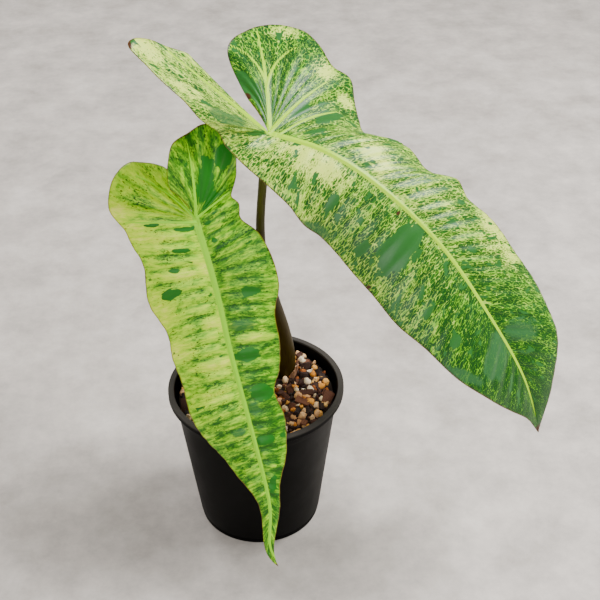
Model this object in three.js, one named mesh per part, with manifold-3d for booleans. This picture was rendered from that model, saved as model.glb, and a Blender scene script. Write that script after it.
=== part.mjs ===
// A young aroid in a nursery pot: the pot, its potting mix, a short stem, two leaf stalks, two long
// arrow-shaped blades and the papery remnant of an old sheath.
// Millimetres, +Z up. The origin is the middle of the pot's foot, and the plant faces -Y.
import * as THREE from "three";
import { mergeVertices } from "three/addons/utils/BufferGeometryUtils.js";
import Module from "manifold-3d";

const wasm = await Module();
wasm.setup();

// Driving dimensions, in millimetres and degrees

const GAP = 0.3; // clearance between pieces that touch

const POT = {
  height: 118.5,
  mouthRadius: 60.7,
  collarRadius: 65,
  collarHeight: 4.7,
  shoulderRadius: 59.3, // where the plain taper ends, under the stacking band
  shoulderHeight: 104.5,
  baseRadius: 46.8,
  footRadius: 46,
  footHeight: 4.5,
  wall: 1.3,
  floor: 1.8,
  edge: 0.6, // rounding of the rim and foot
  sides: 56,
  drainHoles: 8,
  drainRadius: 4.5,
  drainCircle: 30,
  footNotches: 4,
  notchRadius: 3.6,
  notchTurn: -81, // direction of the notch at the front
};

const SOIL = {
  level: 104,
  roughness: 1.1,
  rings: 9,
  sides: 40,
  granules: 64,
  granuleRadius: [1.6, 2.6],
  chunks: 32,
  chunkRadius: [2.8, 4.8],
  seed: 11,
};

// The stem is oval, so that both stalks stand on it side by side.
const STEM = {
  centre: [19.4, 25.2],
  turn: -27,
  halfLength: 12,
  halfWidth: 8.2,
  bottom: 72,
  top: 106,
  sides: 24,
};

// Stalks: a row holds x, y, z and the radius there, from the foot to the joint under the blade.
const RIGHT_STALK = [
  [23.6, 23.2, STEM.top + GAP, 6.6],
  [23.9, 21.2, 130, 6.2],
  [21, 18, 155, 5.2],
  [12.8, 12.5, 194, 4.2],
  [8, 9.8, 224, 3.5],
  [7.2, 9.2, 250, 3.1],
  [9.6, 10.4, 280, 3],
  [12.2, 11.6, 303, 3.3],
  [14.6, 11.4, 315.5, 3.2],
];
const LEFT_STALK = [
  [12.4, 28.6, STEM.top + GAP, 5],
  [10.4, 30, 128, 4.7],
  [4.5, 30.6, 160, 4.2],
  [-6, 27, 195, 3.7],
  [-18, 19, 228, 3.2],
  [-29, 6.5, 256, 3],
  [-34, -5.5, 271.5, 3],
  [-35, -15.6, 275.6, 2.9],
];
const STALK_SIDES = 10;
const STALK_STEPS = 2; // rings between two rows

// The papery remnant of an old sheath, curled round the right side of the right stalk's foot
const SHEATH = {
  centre: [23.6, 23.2],
  radius: 7.4,
  thickness: 0.8,
  bottom: STEM.top + GAP,
  height: 13,
  from: -75,
  to: 62,
  steps: 9,
  levels: 4,
};

// A blade's halves are fans of side veins. A row holds, for one vein: where it leaves the midrib, its
// bearing from the way to the tip as it leaves and as it reaches the margin, its length, and how far it
// lifts out of the blade's plane. The first row is the edge beside the sinus, the lobes' veins all leave
// the joint, and the last row runs along the midrib to the tip.
const LEFT_LEAF = {
  midrib: [
    [-35, -20, 274],
    [-24, -36, 229],
    [-16, -51, 186],
    [-5, -68, 137],
    [6, -87, 83],
    [5.5, -98.5, 52],
    [11.5, -103.5, 37],
  ],
  facing: [0, -1, 0.3],
  // right-hand half, looking along the midrib from the joint with the upper face up
  rightHalf: [
    [0, 160, 162, 31, -20],
    [0, 153, 160.5, 42, -28],
    [0, 147, 150, 51.5, -24],
    [0, 139, 142.5, 58, -17],
    [0, 129, 130, 60.5, -10],
    [0, 115, 111, 57, -4],
    [5, 108, 103, 49, -2],
    [16, 105, 102.5, 47, -2],
    [30, 101, 99.5, 43, -5],
    [48, 94, 86.5, 47, -5.5],
    [70, 92, 83, 39.5, -6],
    [92, 93, 88, 40, -8],
    [112, 93, 89, 39, -9],
    [128, 88, 80, 39, -8.5],
    [150, 85, 78, 34, -13],
    [172, 83, 77, 23.5, -16],
    [192, 74, 68, 12.5, -8],
    [210, 54, 52, 9, -8],
    [230, 24, 22, 10, -8],
    [246, 0, 0, 12, 0],
  ],
  leftHalf: [
    [0, 186, 201.5, 29, 24],
    [0, 172, 188, 46, 27],
    [0, 162, 179, 57, 20],
    [0, 152, 168.5, 58.5, 12],
    [0, 141, 156.5, 63, 5],
    [0, 131, 139, 54, -2],
    [0, 121, 124, 41, -8],
    [0, 112, 109, 28, -6],
    [5, 107, 104.5, 31, 4],
    [16, 106, 105.5, 29.5, -1],
    [30, 103, 102.5, 39, 1],
    [48, 92, 83, 42, 4],
    [70, 91, 84.5, 35, -3],
    [92, 90, 84.5, 34, -5.5],
    [112, 90, 83, 29.5, -7],
    [128, 91, 86.5, 22, -8],
    [150, 91, 88, 24.5, -10],
    [172, 88, 84, 20, -10.5],
    [192, 73, 68, 10.5, -10.5],
    [210, 42, 38, 10, -8],
    [230, 30, 28, 8, -5],
    [246, 0, 0, 12, 0],
  ],
  ruffle: 1.6,
  ruffleRows: 2.6,
};
const RIGHT_LEAF = {
  midrib: [
    [15, 10, 319],
    [52, -4, 311],
    [89, -17, 288],
    [126, -30, 252],
    [157, -42, 207],
    [185, -52, 157],
    [200, -57, 109],
  ],
  facing: [0.2, -0.6, 1],
  rightHalf: [
    [0, 186, 200, 34, -10],
    [0, 183, 196, 60, 4],
    [0, 180, 189, 78, 24],
    [0, 176, 180.5, 76, 44],
    [0, 170, 173.5, 90.5, 46.5],
    [0, 163, 167.5, 109, 46],
    [0, 155, 159, 120, 45.5],
    [0, 147, 150.5, 104, 47.5],
    [0, 137, 138, 88.5, 48],
    [0, 130, 129, 71.5, 44.5],
    [0, 125, 127, 47, 37.5],
    [0, 121, 122, 37.5, 20.5],
    [5, 118, 117.5, 33, 6.5],
    [18, 112, 109.5, 36, -4.5],
    [34, 100, 93, 43.5, -17],
    [52, 96, 91, 49, -26],
    [70, 97, 92, 49.5, -33],
    [88, 97, 92.5, 51.5, -34],
    [106, 94, 88, 54.5, -32.5],
    [124, 90, 82.5, 56, -29.5],
    [146, 84, 76, 58, -22],
    [170, 79, 70, 54, -11],
    [196, 72, 63.5, 51.5, -3.5],
    [220, 64, 57, 43, 0],
    [244, 49, 44, 32, 0.5],
    [266, 24, 22.5, 22, 3.5],
    [286, 0, 0, 18, 0],
  ],
  leftHalf: [
    [0, 136, 142, 27, 8],
    [0, 120, 139.5, 43.5, 8],
    [0, 115, 135.5, 68.5, 6],
    [0, 112, 124, 86.5, -1],
    [0, 105, 110, 101, -5],
    [0, 97, 96.5, 98, -6],
    [0, 88, 82.5, 83.5, -7.5],
    [0, 80, 76.5, 81.5, -9.5],
    [0, 72, 68.5, 86.5, -15],
    [5, 64, 60, 78, -24],
    [18, 53, 46.5, 59, -25],
    [34, 51, 44, 65, -19],
    [52, 55, 46.5, 56.5, -8.5],
    [70, 56, 46, 51.5, -6],
    [88, 60, 53, 58, -4],
    [106, 61, 55, 53, -3],
    [124, 62, 56, 58, -5],
    [146, 60, 53.5, 60, -5],
    [170, 57, 50, 65.5, -2.5],
    [196, 54, 47, 59.5, 1],
    [220, 51, 44.5, 49.5, 3.5],
    [244, 38, 33, 36, 3.5],
    [266, 20, 18, 26, 0],
    [286, 0, 0, 18, 0],
  ],
  ruffle: 1.2,
  ruffleRows: 2.8,
};
const BLADE = {
  thickness: 0.9,
  arch: 0.06, // rise of a vein's middle, as a share of its length
  keel: 2.6, // depth of the midrib under the blade, at the joint
  keelTip: 0.5,
  leavingLift: 0.75, // share of its lift that a vein has where it leaves the midrib
  turnRate: 2.2, // how soon, along a vein, the thickness turns from the midrib's up to square
  levels: [0, 0.06, 0.25, 0.45, 0.65, 0.84, 1],
  steps: 2, // vein places between two rows
};

// Finishes

const finish = (color, roughness) => new THREE.MeshStandardMaterial({ color, roughness, metalness: 0 });
const BLACK_PLASTIC = finish("#1b1c1e", 0.5);
const POTTING_MIX = finish("#4a3022", 0.95);
const STEM_SKIN = finish("#6a5a33", 0.7);
const STALK_SKIN = finish("#6f6437", 0.55);
const LIME_BLADE = finish("#a3c23f", 0.5);
const DARK_BLADE = finish("#5f8f4e", 0.45);
const DRY_SHEATH = finish("#b98f72", 0.85);

// Helpers

const radians = THREE.MathUtils.degToRad;

// A closed geometry as a solid that can be joined and cut: shared vertices merged, empty triangles dropped.
function toSolid(geometry) {
  const bare = new THREE.BufferGeometry().setAttribute("position", geometry.getAttribute("position"));
  if (geometry.index) bare.setIndex(geometry.index);
  const merged = mergeVertices(bare, 1e-4);
  const corners = merged.index.array;
  const kept = [];
  for (let i = 0; i < corners.length; i += 3) {
    const [a, b, c] = [corners[i], corners[i + 1], corners[i + 2]];
    if (a !== b && b !== c && c !== a) kept.push(a, b, c);
  }
  return new wasm.Manifold(
    new wasm.Mesh({
      numProp: 3,
      vertProperties: merged.getAttribute("position").array,
      triVerts: new Uint32Array(kept),
    }),
  );
}

// A solid as a named mesh.
function toMesh(name, solid, material) {
  const { vertProperties, triVerts } = solid.getMesh();
  const geometry = new THREE.BufferGeometry()
    .setAttribute("position", new THREE.BufferAttribute(vertProperties, 3))
    .setIndex(new THREE.BufferAttribute(triVerts, 1));
  geometry.computeVertexNormals();
  const mesh = new THREE.Mesh(geometry, material);
  mesh.name = name;
  return mesh;
}

// A turned body about +Z, from a profile of [radius, height] that closes on itself or on the axis.
function turned(profile, sides) {
  const points = profile.map(([radius, height]) => new THREE.Vector2(radius, height));
  return new THREE.LatheGeometry(points, sides).rotateX(Math.PI / 2);
}

// Rows of numbers read at a fractional place, on a smooth curve through them.
function smoothRow(rows, place) {
  const last = rows.length - 1;
  const i = Math.min(Math.max(Math.floor(place), 0), last - 1);
  const f = place - i;
  const [b, c] = [rows[i], rows[i + 1]];
  const before = (k) => (i > 0 ? rows[i - 1][k] : 2 * b[k] - c[k]);
  const after = (k) => (i < last - 1 ? rows[i + 2][k] : 2 * c[k] - b[k]);
  return b.map((value, k) => {
    const [p, q, r, s] = [before(k), value, c[k], after(k)];
    return 0.5 * (2 * q + f * (r - p + f * (2 * p - 5 * q + 4 * r - s + f * (3 * q - p - 3 * r + s))));
  });
}

// A repeatable random number from 0 to 1.
function randomFrom(seed) {
  let state = seed;
  return () => {
    state = (state * 16807) % 2147483647;
    return (state & 0xfffff) / 0x100000;
  };
}

// A closed body from rings of points that all have the same count, with both ends capped.
function skinned(rings) {
  const count = rings[0].length;
  const positions = rings.flat().flatMap((p) => p.toArray());
  const ends = [rings[0], rings.at(-1)].map((ring) => {
    const middle = new THREE.Vector3();
    ring.forEach((p) => middle.add(p));
    return middle.divideScalar(count);
  });
  const [first, last] = [rings.length * count, rings.length * count + 1];
  ends.forEach((p) => positions.push(...p.toArray()));
  const index = [];
  for (let i = 0; i < count; i++) {
    const next = (i + 1) % count;
    for (let k = 0; k < rings.length - 1; k++) {
      const [a, b] = [k * count + i, k * count + next];
      index.push(a, b, b + count, a, b + count, a + count);
    }
    const top = (rings.length - 1) * count;
    index.push(first, next, i, last, top + i, top + next);
  }
  return new THREE.BufferGeometry()
    .setAttribute("position", new THREE.Float32BufferAttribute(positions, 3))
    .setIndex(index);
}

// Pot: a turned shell with a hooked rim, drain holes in its floor and notches in its foot

const innerWallAt = (height) => {
  const { baseRadius, shoulderRadius, footHeight, shoulderHeight, wall } = POT;
  const rise = (height - footHeight) / (shoulderHeight - footHeight);
  return baseRadius + rise * (shoulderRadius - baseRadius) - wall;
};

function potSolid() {
  const { height, mouthRadius, collarRadius, collarHeight, shoulderRadius, shoulderHeight } = POT;
  const { baseRadius, footRadius, footHeight, wall, floor, edge, sides } = POT;
  const underRim = height - wall;
  const collarFoot = height - collarHeight;
  const neck = mouthRadius + wall;
  const shell = turned(
    [
      [0, 0],
      [footRadius - edge, 0],
      [footRadius, edge],
      [footRadius, footHeight],
      [baseRadius, footHeight + edge],
      [shoulderRadius, shoulderHeight],
      [shoulderRadius + 0.9, shoulderHeight + 1.4],
      [neck, collarFoot],
      [neck, underRim],
      [collarRadius - wall, underRim],
      [collarRadius - wall, collarFoot],
      [collarRadius - edge, collarFoot],
      [collarRadius, collarFoot + edge],
      [collarRadius, height - edge],
      [collarRadius - edge, height],
      [mouthRadius + edge, height],
      [mouthRadius, height - edge],
      [mouthRadius - 0.6, collarFoot],
      [innerWallAt(shoulderHeight), shoulderHeight - 1],
      [innerWallAt(footHeight), footHeight],
      [footRadius - wall - 1.5, floor],
      [0, floor],
    ],
    sides,
  );
  let solid = toSolid(shell);
  const { drainRadius, notchRadius } = POT;
  const hole = new THREE.CylinderGeometry(drainRadius, drainRadius, 4 * floor, 16).rotateX(Math.PI / 2);
  for (let k = 0; k < POT.drainHoles; k++) {
    const angle = (2 * Math.PI * (k + 0.5)) / POT.drainHoles;
    const [x, y] = [POT.drainCircle * Math.cos(angle), POT.drainCircle * Math.sin(angle)];
    solid = solid.subtract(toSolid(hole.clone().translate(x, y, floor / 2)));
  }
  // Each notch is a round bite across the foot's lower corner.
  const bite = new THREE.CylinderGeometry(notchRadius, notchRadius, 3, 16).rotateZ(Math.PI / 2);
  for (let k = 0; k < POT.footNotches; k++) {
    const turn = radians(POT.notchTurn) + (2 * Math.PI * k) / POT.footNotches;
    const place = new THREE.Vector3(footRadius, 0, -0.45 * notchRadius);
    solid = solid.subtract(toSolid(bite.clone().translate(...place.toArray()).rotateZ(turn)));
  }
  return solid;
}

// Potting mix: a filling with a rough top, round granules and angular bark chunks sunk into it

// Rough height above the level, a sum of three crossing waves.
const roughAt = (x, y) => {
  const broad = 0.5 * Math.sin(0.31 * x + 1.1) * Math.cos(0.27 * y);
  return SOIL.roughness * (broad + 0.35 * Math.sin(0.62 * y - 0.4 * x));
};

function fillingGeometry() {
  const bottom = POT.floor + GAP;
  const ringAt = (radius, heightAt) =>
    Array.from({ length: SOIL.sides }, (_, k) => {
      const angle = (2 * Math.PI * k) / SOIL.sides;
      const [x, y] = [radius * Math.cos(angle), radius * Math.sin(angle)];
      return new THREE.Vector3(x, y, heightAt(x, y));
    });
  const wallRadius = (height) => innerWallAt(height) - GAP;
  const footEdge = POT.footHeight + GAP;
  const rings = [
    ringAt(POT.footRadius - POT.wall - 2.5, () => bottom),
    ringAt(wallRadius(footEdge) - GAP, () => footEdge),
    ringAt(wallRadius(SOIL.level - 3), () => SOIL.level - 3),
  ];
  for (let k = SOIL.rings; k > 0; k--) {
    const radius = (wallRadius(SOIL.level - 3) - GAP) * (k / SOIL.rings);
    rings.push(ringAt(radius, (x, y) => SOIL.level - 1 + roughAt(x, y) * Math.min(1, 1.4 - k / SOIL.rings)));
  }
  return skinned(rings);
}

// The places of the grains: drawn at random, clear of the wall and of the stem, none inside another.
function scatter(random) {
  const grains = [];
  const wanted = [
    ...Array(SOIL.chunks).fill({ kind: "chunk", range: SOIL.chunkRadius }),
    ...Array(SOIL.granules).fill({ kind: "granule", range: SOIL.granuleRadius }),
  ];
  const reach = innerWallAt(SOIL.level - 3) - GAP;
  for (const { kind, range } of wanted) {
    for (let attempt = 0; attempt < 60; attempt++) {
      const radius = THREE.MathUtils.lerp(range[0], range[1], random());
      const away = (reach - radius * 1.35 - 1) * Math.sqrt(random());
      const angle = 2 * Math.PI * random();
      const [x, y] = [away * Math.cos(angle), away * Math.sin(angle)];
      const stemClear = Math.hypot(x - STEM.centre[0], y - STEM.centre[1]) - radius - STEM.halfLength;
      const clear = grains.every((g) => Math.hypot(x - g.x, y - g.y) > 0.85 * (radius + g.radius));
      if (stemClear > -1.5 && clear) {
        grains.push({ kind, radius, x, y });
        break;
      }
    }
  }
  return grains;
}

function soilSolid() {
  const random = randomFrom(SOIL.seed);
  let solid = toSolid(fillingGeometry());
  for (const { kind, radius, x, y } of scatter(random)) {
    const angular = kind === "chunk";
    const shape = angular ? new THREE.BoxGeometry(1.5, 1.1, 0.9) : new THREE.IcosahedronGeometry(1, 0);
    const lift = angular ? 0.25 : 0.4;
    const turn = new THREE.Euler(random() - 0.5, random() - 0.5, 2 * Math.PI * random());
    const place = new THREE.Matrix4().makeRotationFromEuler(turn);
    place.scale(new THREE.Vector3(radius, radius * (0.75 + 0.25 * random()), radius));
    place.setPosition(x, y, SOIL.level - 1 + roughAt(x, y) + lift * radius);
    solid = solid.add(toSolid(shape.applyMatrix4(place)));
  }
  return solid.subtract(toSolid(stemGeometry(GAP)));
}

// Stem: a short oval stump, and the plain hole that it stands in, which is the same shape and larger by a gap

function stemGeometry(grow) {
  const { centre, turn, halfLength, halfWidth, bottom, top, sides } = STEM;
  const levels = [
    [bottom - grow, 0.62],
    [bottom + 14, 0.94],
    [top - 4, 1],
    [top - 1.2, 0.97],
    [top, 0.9],
  ];
  if (grow) levels.push([POT.height, 0.9]);
  const rings = levels.map(([height, share]) =>
    Array.from({ length: sides }, (_, k) => {
      const angle = (2 * Math.PI * k) / sides;
      const x = (halfLength * share + grow) * Math.cos(angle);
      const y = (halfWidth * share + grow) * Math.sin(angle);
      return new THREE.Vector3(x, y, 0)
        .applyAxisAngle(new THREE.Vector3(0, 0, 1), radians(turn))
        .add(new THREE.Vector3(centre[0], centre[1], height));
    }),
  );
  return skinned(rings);
}

// Stalks: tapered tubes that follow their rows

function stalkGeometry(rows) {
  const count = (rows.length - 1) * STALK_STEPS + 1;
  const spine = Array.from({ length: count }, (_, k) => smoothRow(rows, k / STALK_STEPS));
  const points = spine.map(([x, y, z]) => new THREE.Vector3(x, y, z));
  const sideways = new THREE.Vector3(1, 0, 0);
  const rings = points.map((point, k) => {
    const along = points[Math.min(k + 1, count - 1)].clone().sub(points[Math.max(k - 1, 0)]).normalize();
    if (k === 0) along.set(0, 0, 1);
    const front = along.clone().cross(sideways).normalize();
    const right = front.clone().cross(along).normalize();
    return Array.from({ length: STALK_SIDES }, (_, i) => {
      const angle = (2 * Math.PI * i) / STALK_SIDES;
      return point
        .clone()
        .addScaledVector(right, spine[k][3] * Math.cos(angle))
        .addScaledVector(front, spine[k][3] * Math.sin(angle));
    });
  });
  return skinned(rings);
}

// Sheath remnant: a thin curled flap with a ragged slanting top

function sheathGeometry() {
  const { centre, radius, thickness, bottom, height, from, to, steps, levels } = SHEATH;
  const pointAt = (share, level, outward) => {
    const angle = radians(THREE.MathUtils.lerp(from, to, share));
    const lean = 1.2 * level * level;
    const top = height * (0.35 + 0.65 * Math.sin(Math.PI * Math.min(1, share * 1.25 + 0.05)) ** 0.8);
    const away = radius + outward * thickness + lean;
    return new THREE.Vector3(
      centre[0] + away * Math.cos(angle),
      centre[1] + away * Math.sin(angle),
      bottom + top * level,
    );
  };
  const rings = [];
  for (let i = 0; i <= steps; i++) {
    const inner = Array.from({ length: levels + 1 }, (_, k) => pointAt(i / steps, k / levels, 0));
    const outer = Array.from({ length: levels + 1 }, (_, k) => pointAt(i / steps, 1 - k / levels, 1));
    rings.push([...inner, ...outer]);
  }
  return skinned(rings);
}

// Blades

// The frame at a place along a midrib: its point, the way along it, the upper face's way and the way across.
function midribFrames({ midrib, facing }) {
  const curve = Array.from({ length: 401 }, (_, k) =>
    new THREE.Vector3(...smoothRow(midrib, (k / 400) * (midrib.length - 1))),
  );
  const stations = [0];
  for (let k = 1; k < curve.length; k++) stations.push(stations[k - 1] + curve[k].distanceTo(curve[k - 1]));
  return (station) => {
    const wanted = THREE.MathUtils.clamp(station, 0, stations.at(-1));
    const after = Math.max(1, stations.findIndex((s) => s >= wanted));
    const share = (wanted - stations[after - 1]) / (stations[after] - stations[after - 1]);
    const point = curve[after - 1].clone().lerp(curve[after], share);
    const [back, ahead] = [Math.max(after - 3, 0), Math.min(after + 2, curve.length - 1)];
    const along = curve[ahead].clone().sub(curve[back]).normalize();
    const up = new THREE.Vector3(...facing);
    up.addScaledVector(along, -up.dot(along)).normalize();
    return { point, along, up, across: along.clone().cross(up), length: stations.at(-1) };
  };
}

// A point of one half's upper face, at a place among its rows and a share of the way out to the margin.
function bladePoint(leaf, frameAt, rows, side, place, share) {
  const [root, leaving, bearing, reach, lift] = smoothRow(rows, place);
  const { point, along, up, across } = frameAt(Math.max(root, 0));
  const way = (angle, climb) => {
    const [level, rise] = [Math.cos(radians(climb)), Math.sin(radians(climb))];
    return new THREE.Vector3()
      .addScaledVector(along, Math.cos(radians(angle)) * level)
      .addScaledVector(across, side * Math.sin(radians(angle)) * level)
      .addScaledVector(up, rise);
  };
  const end = way(bearing, lift);
  const direction = way(leaving, lift * BLADE.leavingLift).lerp(end, share);
  const crown = up.clone().addScaledVector(end, -up.dot(end)).normalize();
  const fromTip = rows.length - 1 - place;
  const wave = Math.sin((2 * Math.PI * fromTip) / leaf.ruffleRows) * Math.min(1, fromTip / 3);
  const rise = BLADE.arch * reach * 4 * share * (1 - share) + leaf.ruffle * wave * share * share;
  return point.clone().addScaledVector(direction, reach * share).addScaledVector(crown, rise);
}

// Which way the blade's thickness runs: the midrib's up near the joint and the tip, else square to the face.
function thicknessWay(leaf, frameAt, rows, side, place, share) {
  const last = rows.length - 1;
  const { up } = frameAt(Math.max(smoothRow(rows, place)[0], 0));
  const own = Math.min(1, share * BLADE.turnRate) * Math.min(1, (last - place) / 2);
  if (own === 0) return up;
  const at = (q, t) => bladePoint(leaf, frameAt, rows, side, q, t);
  const [q0, q1] = [Math.max(place - 0.25, 0), Math.min(place + 0.25, last)];
  const [t0, t1] = [Math.max(share - 0.08, 0.02), Math.min(share + 0.08, 1)];
  const forward = at(q1, share).sub(at(q0, share));
  const outward = at(place, t1).sub(at(place, t0));
  const square = outward.cross(forward).multiplyScalar(side).normalize();
  return up.clone().lerp(square, own).normalize();
}

function bladeGeometry(leaf) {
  const frameAt = midribFrames(leaf);
  const { length } = frameAt(0);
  const { levels, steps, thickness, keel, keelTip } = BLADE;
  const positions = [];
  const triangles = [];
  const addPoint = (p) => positions.push(...p.toArray()) / 3 - 1;
  const addTriangle = (a, b, c, flip) => triangles.push(a, flip ? c : b, flip ? b : c);
  const addQuad = (a, b, c, d, flip) => {
    addTriangle(a, b, c, flip);
    addTriangle(a, c, d, flip);
  };
  for (const [rows, side] of [
    [leaf.rightHalf, 1],
    [leaf.leftHalf, -1],
  ]) {
    const places = (rows.length - 1) * steps;
    const grid = [];
    for (let i = 0; i <= places; i++) {
      const place = i / steps;
      const root = Math.max(smoothRow(rows, place)[0], 0);
      const midribDepth = THREE.MathUtils.lerp(keel, keelTip, root / length);
      grid.push(
        levels.map((share) => {
          const top = bladePoint(leaf, frameAt, rows, side, place, share);
          const way = thicknessWay(leaf, frameAt, rows, side, place, share);
          const depth = thickness + (share === 0 ? midribDepth : 0);
          return [addPoint(top), addPoint(top.clone().addScaledVector(way, -depth))];
        }),
      );
    }
    const flip = side > 0;
    const outer = levels.length - 1;
    for (let i = 0; i < places; i++) {
      for (let k = 0; k < outer; k++) {
        const [a, b, c, d] = [grid[i][k], grid[i + 1][k], grid[i + 1][k + 1], grid[i][k + 1]];
        addQuad(a[0], b[0], c[0], d[0], flip);
        addQuad(a[1], b[1], c[1], d[1], !flip);
      }
      const [m, n] = [grid[i][outer], grid[i + 1][outer]];
      addQuad(m[0], n[0], n[1], m[1], flip);
    }
    // The edge beside the sinus between the lobes
    for (let k = 0; k < outer; k++) {
      const [m, n] = [grid[0][k], grid[0][k + 1]];
      addQuad(m[0], n[0], n[1], m[1], flip);
    }
  }
  return new THREE.BufferGeometry()
    .setAttribute("position", new THREE.Float32BufferAttribute(positions, 3))
    .setIndex(triangles);
}

// The whole plant

const plant = new THREE.Group();
const holder = new THREE.Group();
holder.add(toMesh("pot", potSolid(), BLACK_PLASTIC));
holder.add(toMesh("soil", soilSolid(), POTTING_MIX));
const shoots = new THREE.Group();
shoots.add(toMesh("stem", toSolid(stemGeometry(0)), STEM_SKIN));
shoots.add(toMesh("sheath", toSolid(sheathGeometry()), DRY_SHEATH));
shoots.add(toMesh("stalk_left", toSolid(stalkGeometry(LEFT_STALK)), STALK_SKIN));
shoots.add(toMesh("stalk_right", toSolid(stalkGeometry(RIGHT_STALK)), STALK_SKIN));
shoots.add(toMesh("leaf_left", toSolid(bladeGeometry(LEFT_LEAF)), LIME_BLADE));
shoots.add(toMesh("leaf_right", toSolid(bladeGeometry(RIGHT_LEAF)), DARK_BLADE));
plant.add(holder, shoots);

export default plant;
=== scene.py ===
"""A young variegated aroid in a black nursery pot, dressed for a studio photograph.

Metres and +Z up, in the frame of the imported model: the origin is the middle of the pot's foot, and the
plant faces -Y. The blades, stalks, stem, sheath, pot and potting mix repeat the driving sizes of the CAD
source at a finer grain, and add the veins, the variegation and the loose grains of the mix. Sizes are in
millimetres and degrees, apart from the studio's, which are in metres.
"""

import logging
import math
from collections import defaultdict
from dataclasses import dataclass
from enum import Enum

import bmesh
import bpy
import numpy as np
from bpy.types import Material, NodeSocket, NodeTree, Object
from mathutils import Matrix, Vector


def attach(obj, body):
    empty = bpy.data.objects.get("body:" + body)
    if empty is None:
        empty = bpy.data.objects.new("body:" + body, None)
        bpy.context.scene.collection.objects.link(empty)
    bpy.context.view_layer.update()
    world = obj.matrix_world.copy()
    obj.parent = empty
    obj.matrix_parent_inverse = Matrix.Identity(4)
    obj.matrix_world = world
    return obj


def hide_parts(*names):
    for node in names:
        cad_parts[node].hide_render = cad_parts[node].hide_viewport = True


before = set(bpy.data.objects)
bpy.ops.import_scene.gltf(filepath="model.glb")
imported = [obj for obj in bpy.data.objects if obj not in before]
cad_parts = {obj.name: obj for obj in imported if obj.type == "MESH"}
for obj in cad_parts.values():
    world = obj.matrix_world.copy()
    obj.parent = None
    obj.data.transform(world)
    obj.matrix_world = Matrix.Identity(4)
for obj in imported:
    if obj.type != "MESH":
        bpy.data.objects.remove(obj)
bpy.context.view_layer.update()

MM = 0.001
log = logging.getLogger("plant")

Row = tuple[float, ...]
Array = np.ndarray

# Shared tools


def linear(hex_color: str) -> Row:
    """Turns an sRGB hex colour into linear RGBA.

    Args:
        hex_color: a colour such as "#a3c23f".

    Returns:
        Red, green, blue and an alpha of 1, linear.
    """
    shares = [int(hex_color[i : i + 2], 16) / 255 for i in (1, 3, 5)]
    return (*(s / 12.92 if s <= 0.04045 else ((s + 0.055) / 1.055) ** 2.4 for s in shares), 1.0)


def add(
    tree: NodeTree, kind: str, inputs: dict, ramp: tuple = (), out: int | str = 0, **settings
) -> NodeSocket:
    """Adds one node with its settings and links.

    Args:
        tree: the tree that gets the node.
        kind: the node's type name.
        inputs: value, or output socket to link from, for each input by its name or number.
        ramp: stops of a colour ramp as places and sRGB hex colours.
        out: the output that is returned, by its name or number.
        **settings: the node's own properties.

    Returns:
        One output socket.
    """
    made = tree.nodes.new(kind)
    for name, value in settings.items():
        setattr(made, name, value)
    for key, value in inputs.items():
        if isinstance(value, NodeSocket):
            tree.links.new(value, made.inputs[key])
        else:
            made.inputs[key].default_value = value
    for i, (share, hue) in enumerate(ramp):
        stops = made.color_ramp.elements
        stop = stops[i] if i < 2 else stops.new(share)
        stop.position, stop.color = share, linear(hue)
    return made.outputs[out]


def mesh_object(name: str, points: Array, faces: list) -> Object:
    """Makes a smooth-shaded mesh object at the origin.

    Args:
        name: the object's name.
        points: x, y and z of each corner.
        faces: tuples of corner numbers.

    Returns:
        The object, linked to the scene.
    """
    mesh = bpy.data.meshes.new(name)
    mesh.from_pydata((points.reshape(-1, 3) * MM).tolist(), [], faces)
    mesh.validate()
    mesh.polygons.foreach_set("use_smooth", np.ones(len(mesh.polygons), bool))
    made = bpy.data.objects.new(name, mesh)
    bpy.context.scene.collection.objects.link(made)
    return made


def weld(made: Object, distance: float = 0.004) -> None:
    """Merges corners that share a place, and drops the faces that this empties.

    Args:
        made: a mesh object.
        distance: how far apart merged corners may be.
    """
    work = bmesh.new()
    work.from_mesh(made.data)
    bmesh.ops.remove_doubles(work, verts=work.verts, dist=distance * MM)
    bmesh.ops.dissolve_degenerate(work, edges=work.edges, dist=distance * MM / 4)
    work.to_mesh(made.data)
    work.free()


def baked(made: Object) -> None:
    """Turns what an object's modifiers make into its plain mesh.

    Args:
        made: an object with modifiers.
    """
    mesh = bpy.data.meshes.new_from_object(made.evaluated_get(bpy.context.evaluated_depsgraph_get()))
    made.modifiers.clear()
    made.data = mesh


def place(made: Object, slot: str, finish: "Finish | None", *nodes: str) -> None:
    """Gives a piece its finish, its body and the CAD nodes that it stands for.

    Args:
        made: the finished piece.
        slot: the record's material slot; not used.
        finish: its finish, or None where the mesh has its material already.
        *nodes: CAD nodes that it replaces.
    """
    if finish:
        made.data.materials.clear()
        made.data.materials.append(finish.build())
    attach(made, "root")
    if nodes:
        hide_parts(*nodes)
    log.info("%s: %d faces", made.name, len(made.data.polygons))


def circle(count: int) -> Array:
    """Returns evenly spaced angles of one full turn."""
    return np.linspace(0, 2 * np.pi, count, endpoint=False)


def ring_faces(levels: int, count: int) -> list:
    """Lists the faces between closed rings of corners.

    Args:
        levels: how many rings follow each other.
        count: corners in a ring.

    Returns:
        Tuples of corner numbers.
    """
    pairs = [(i, (i + 1) % count) for i in range(count)]
    starts = range(0, (levels - 1) * count, count)
    return [(k + i, k + n, k + count + n, k + count + i) for k in starts for i, n in pairs]


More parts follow.
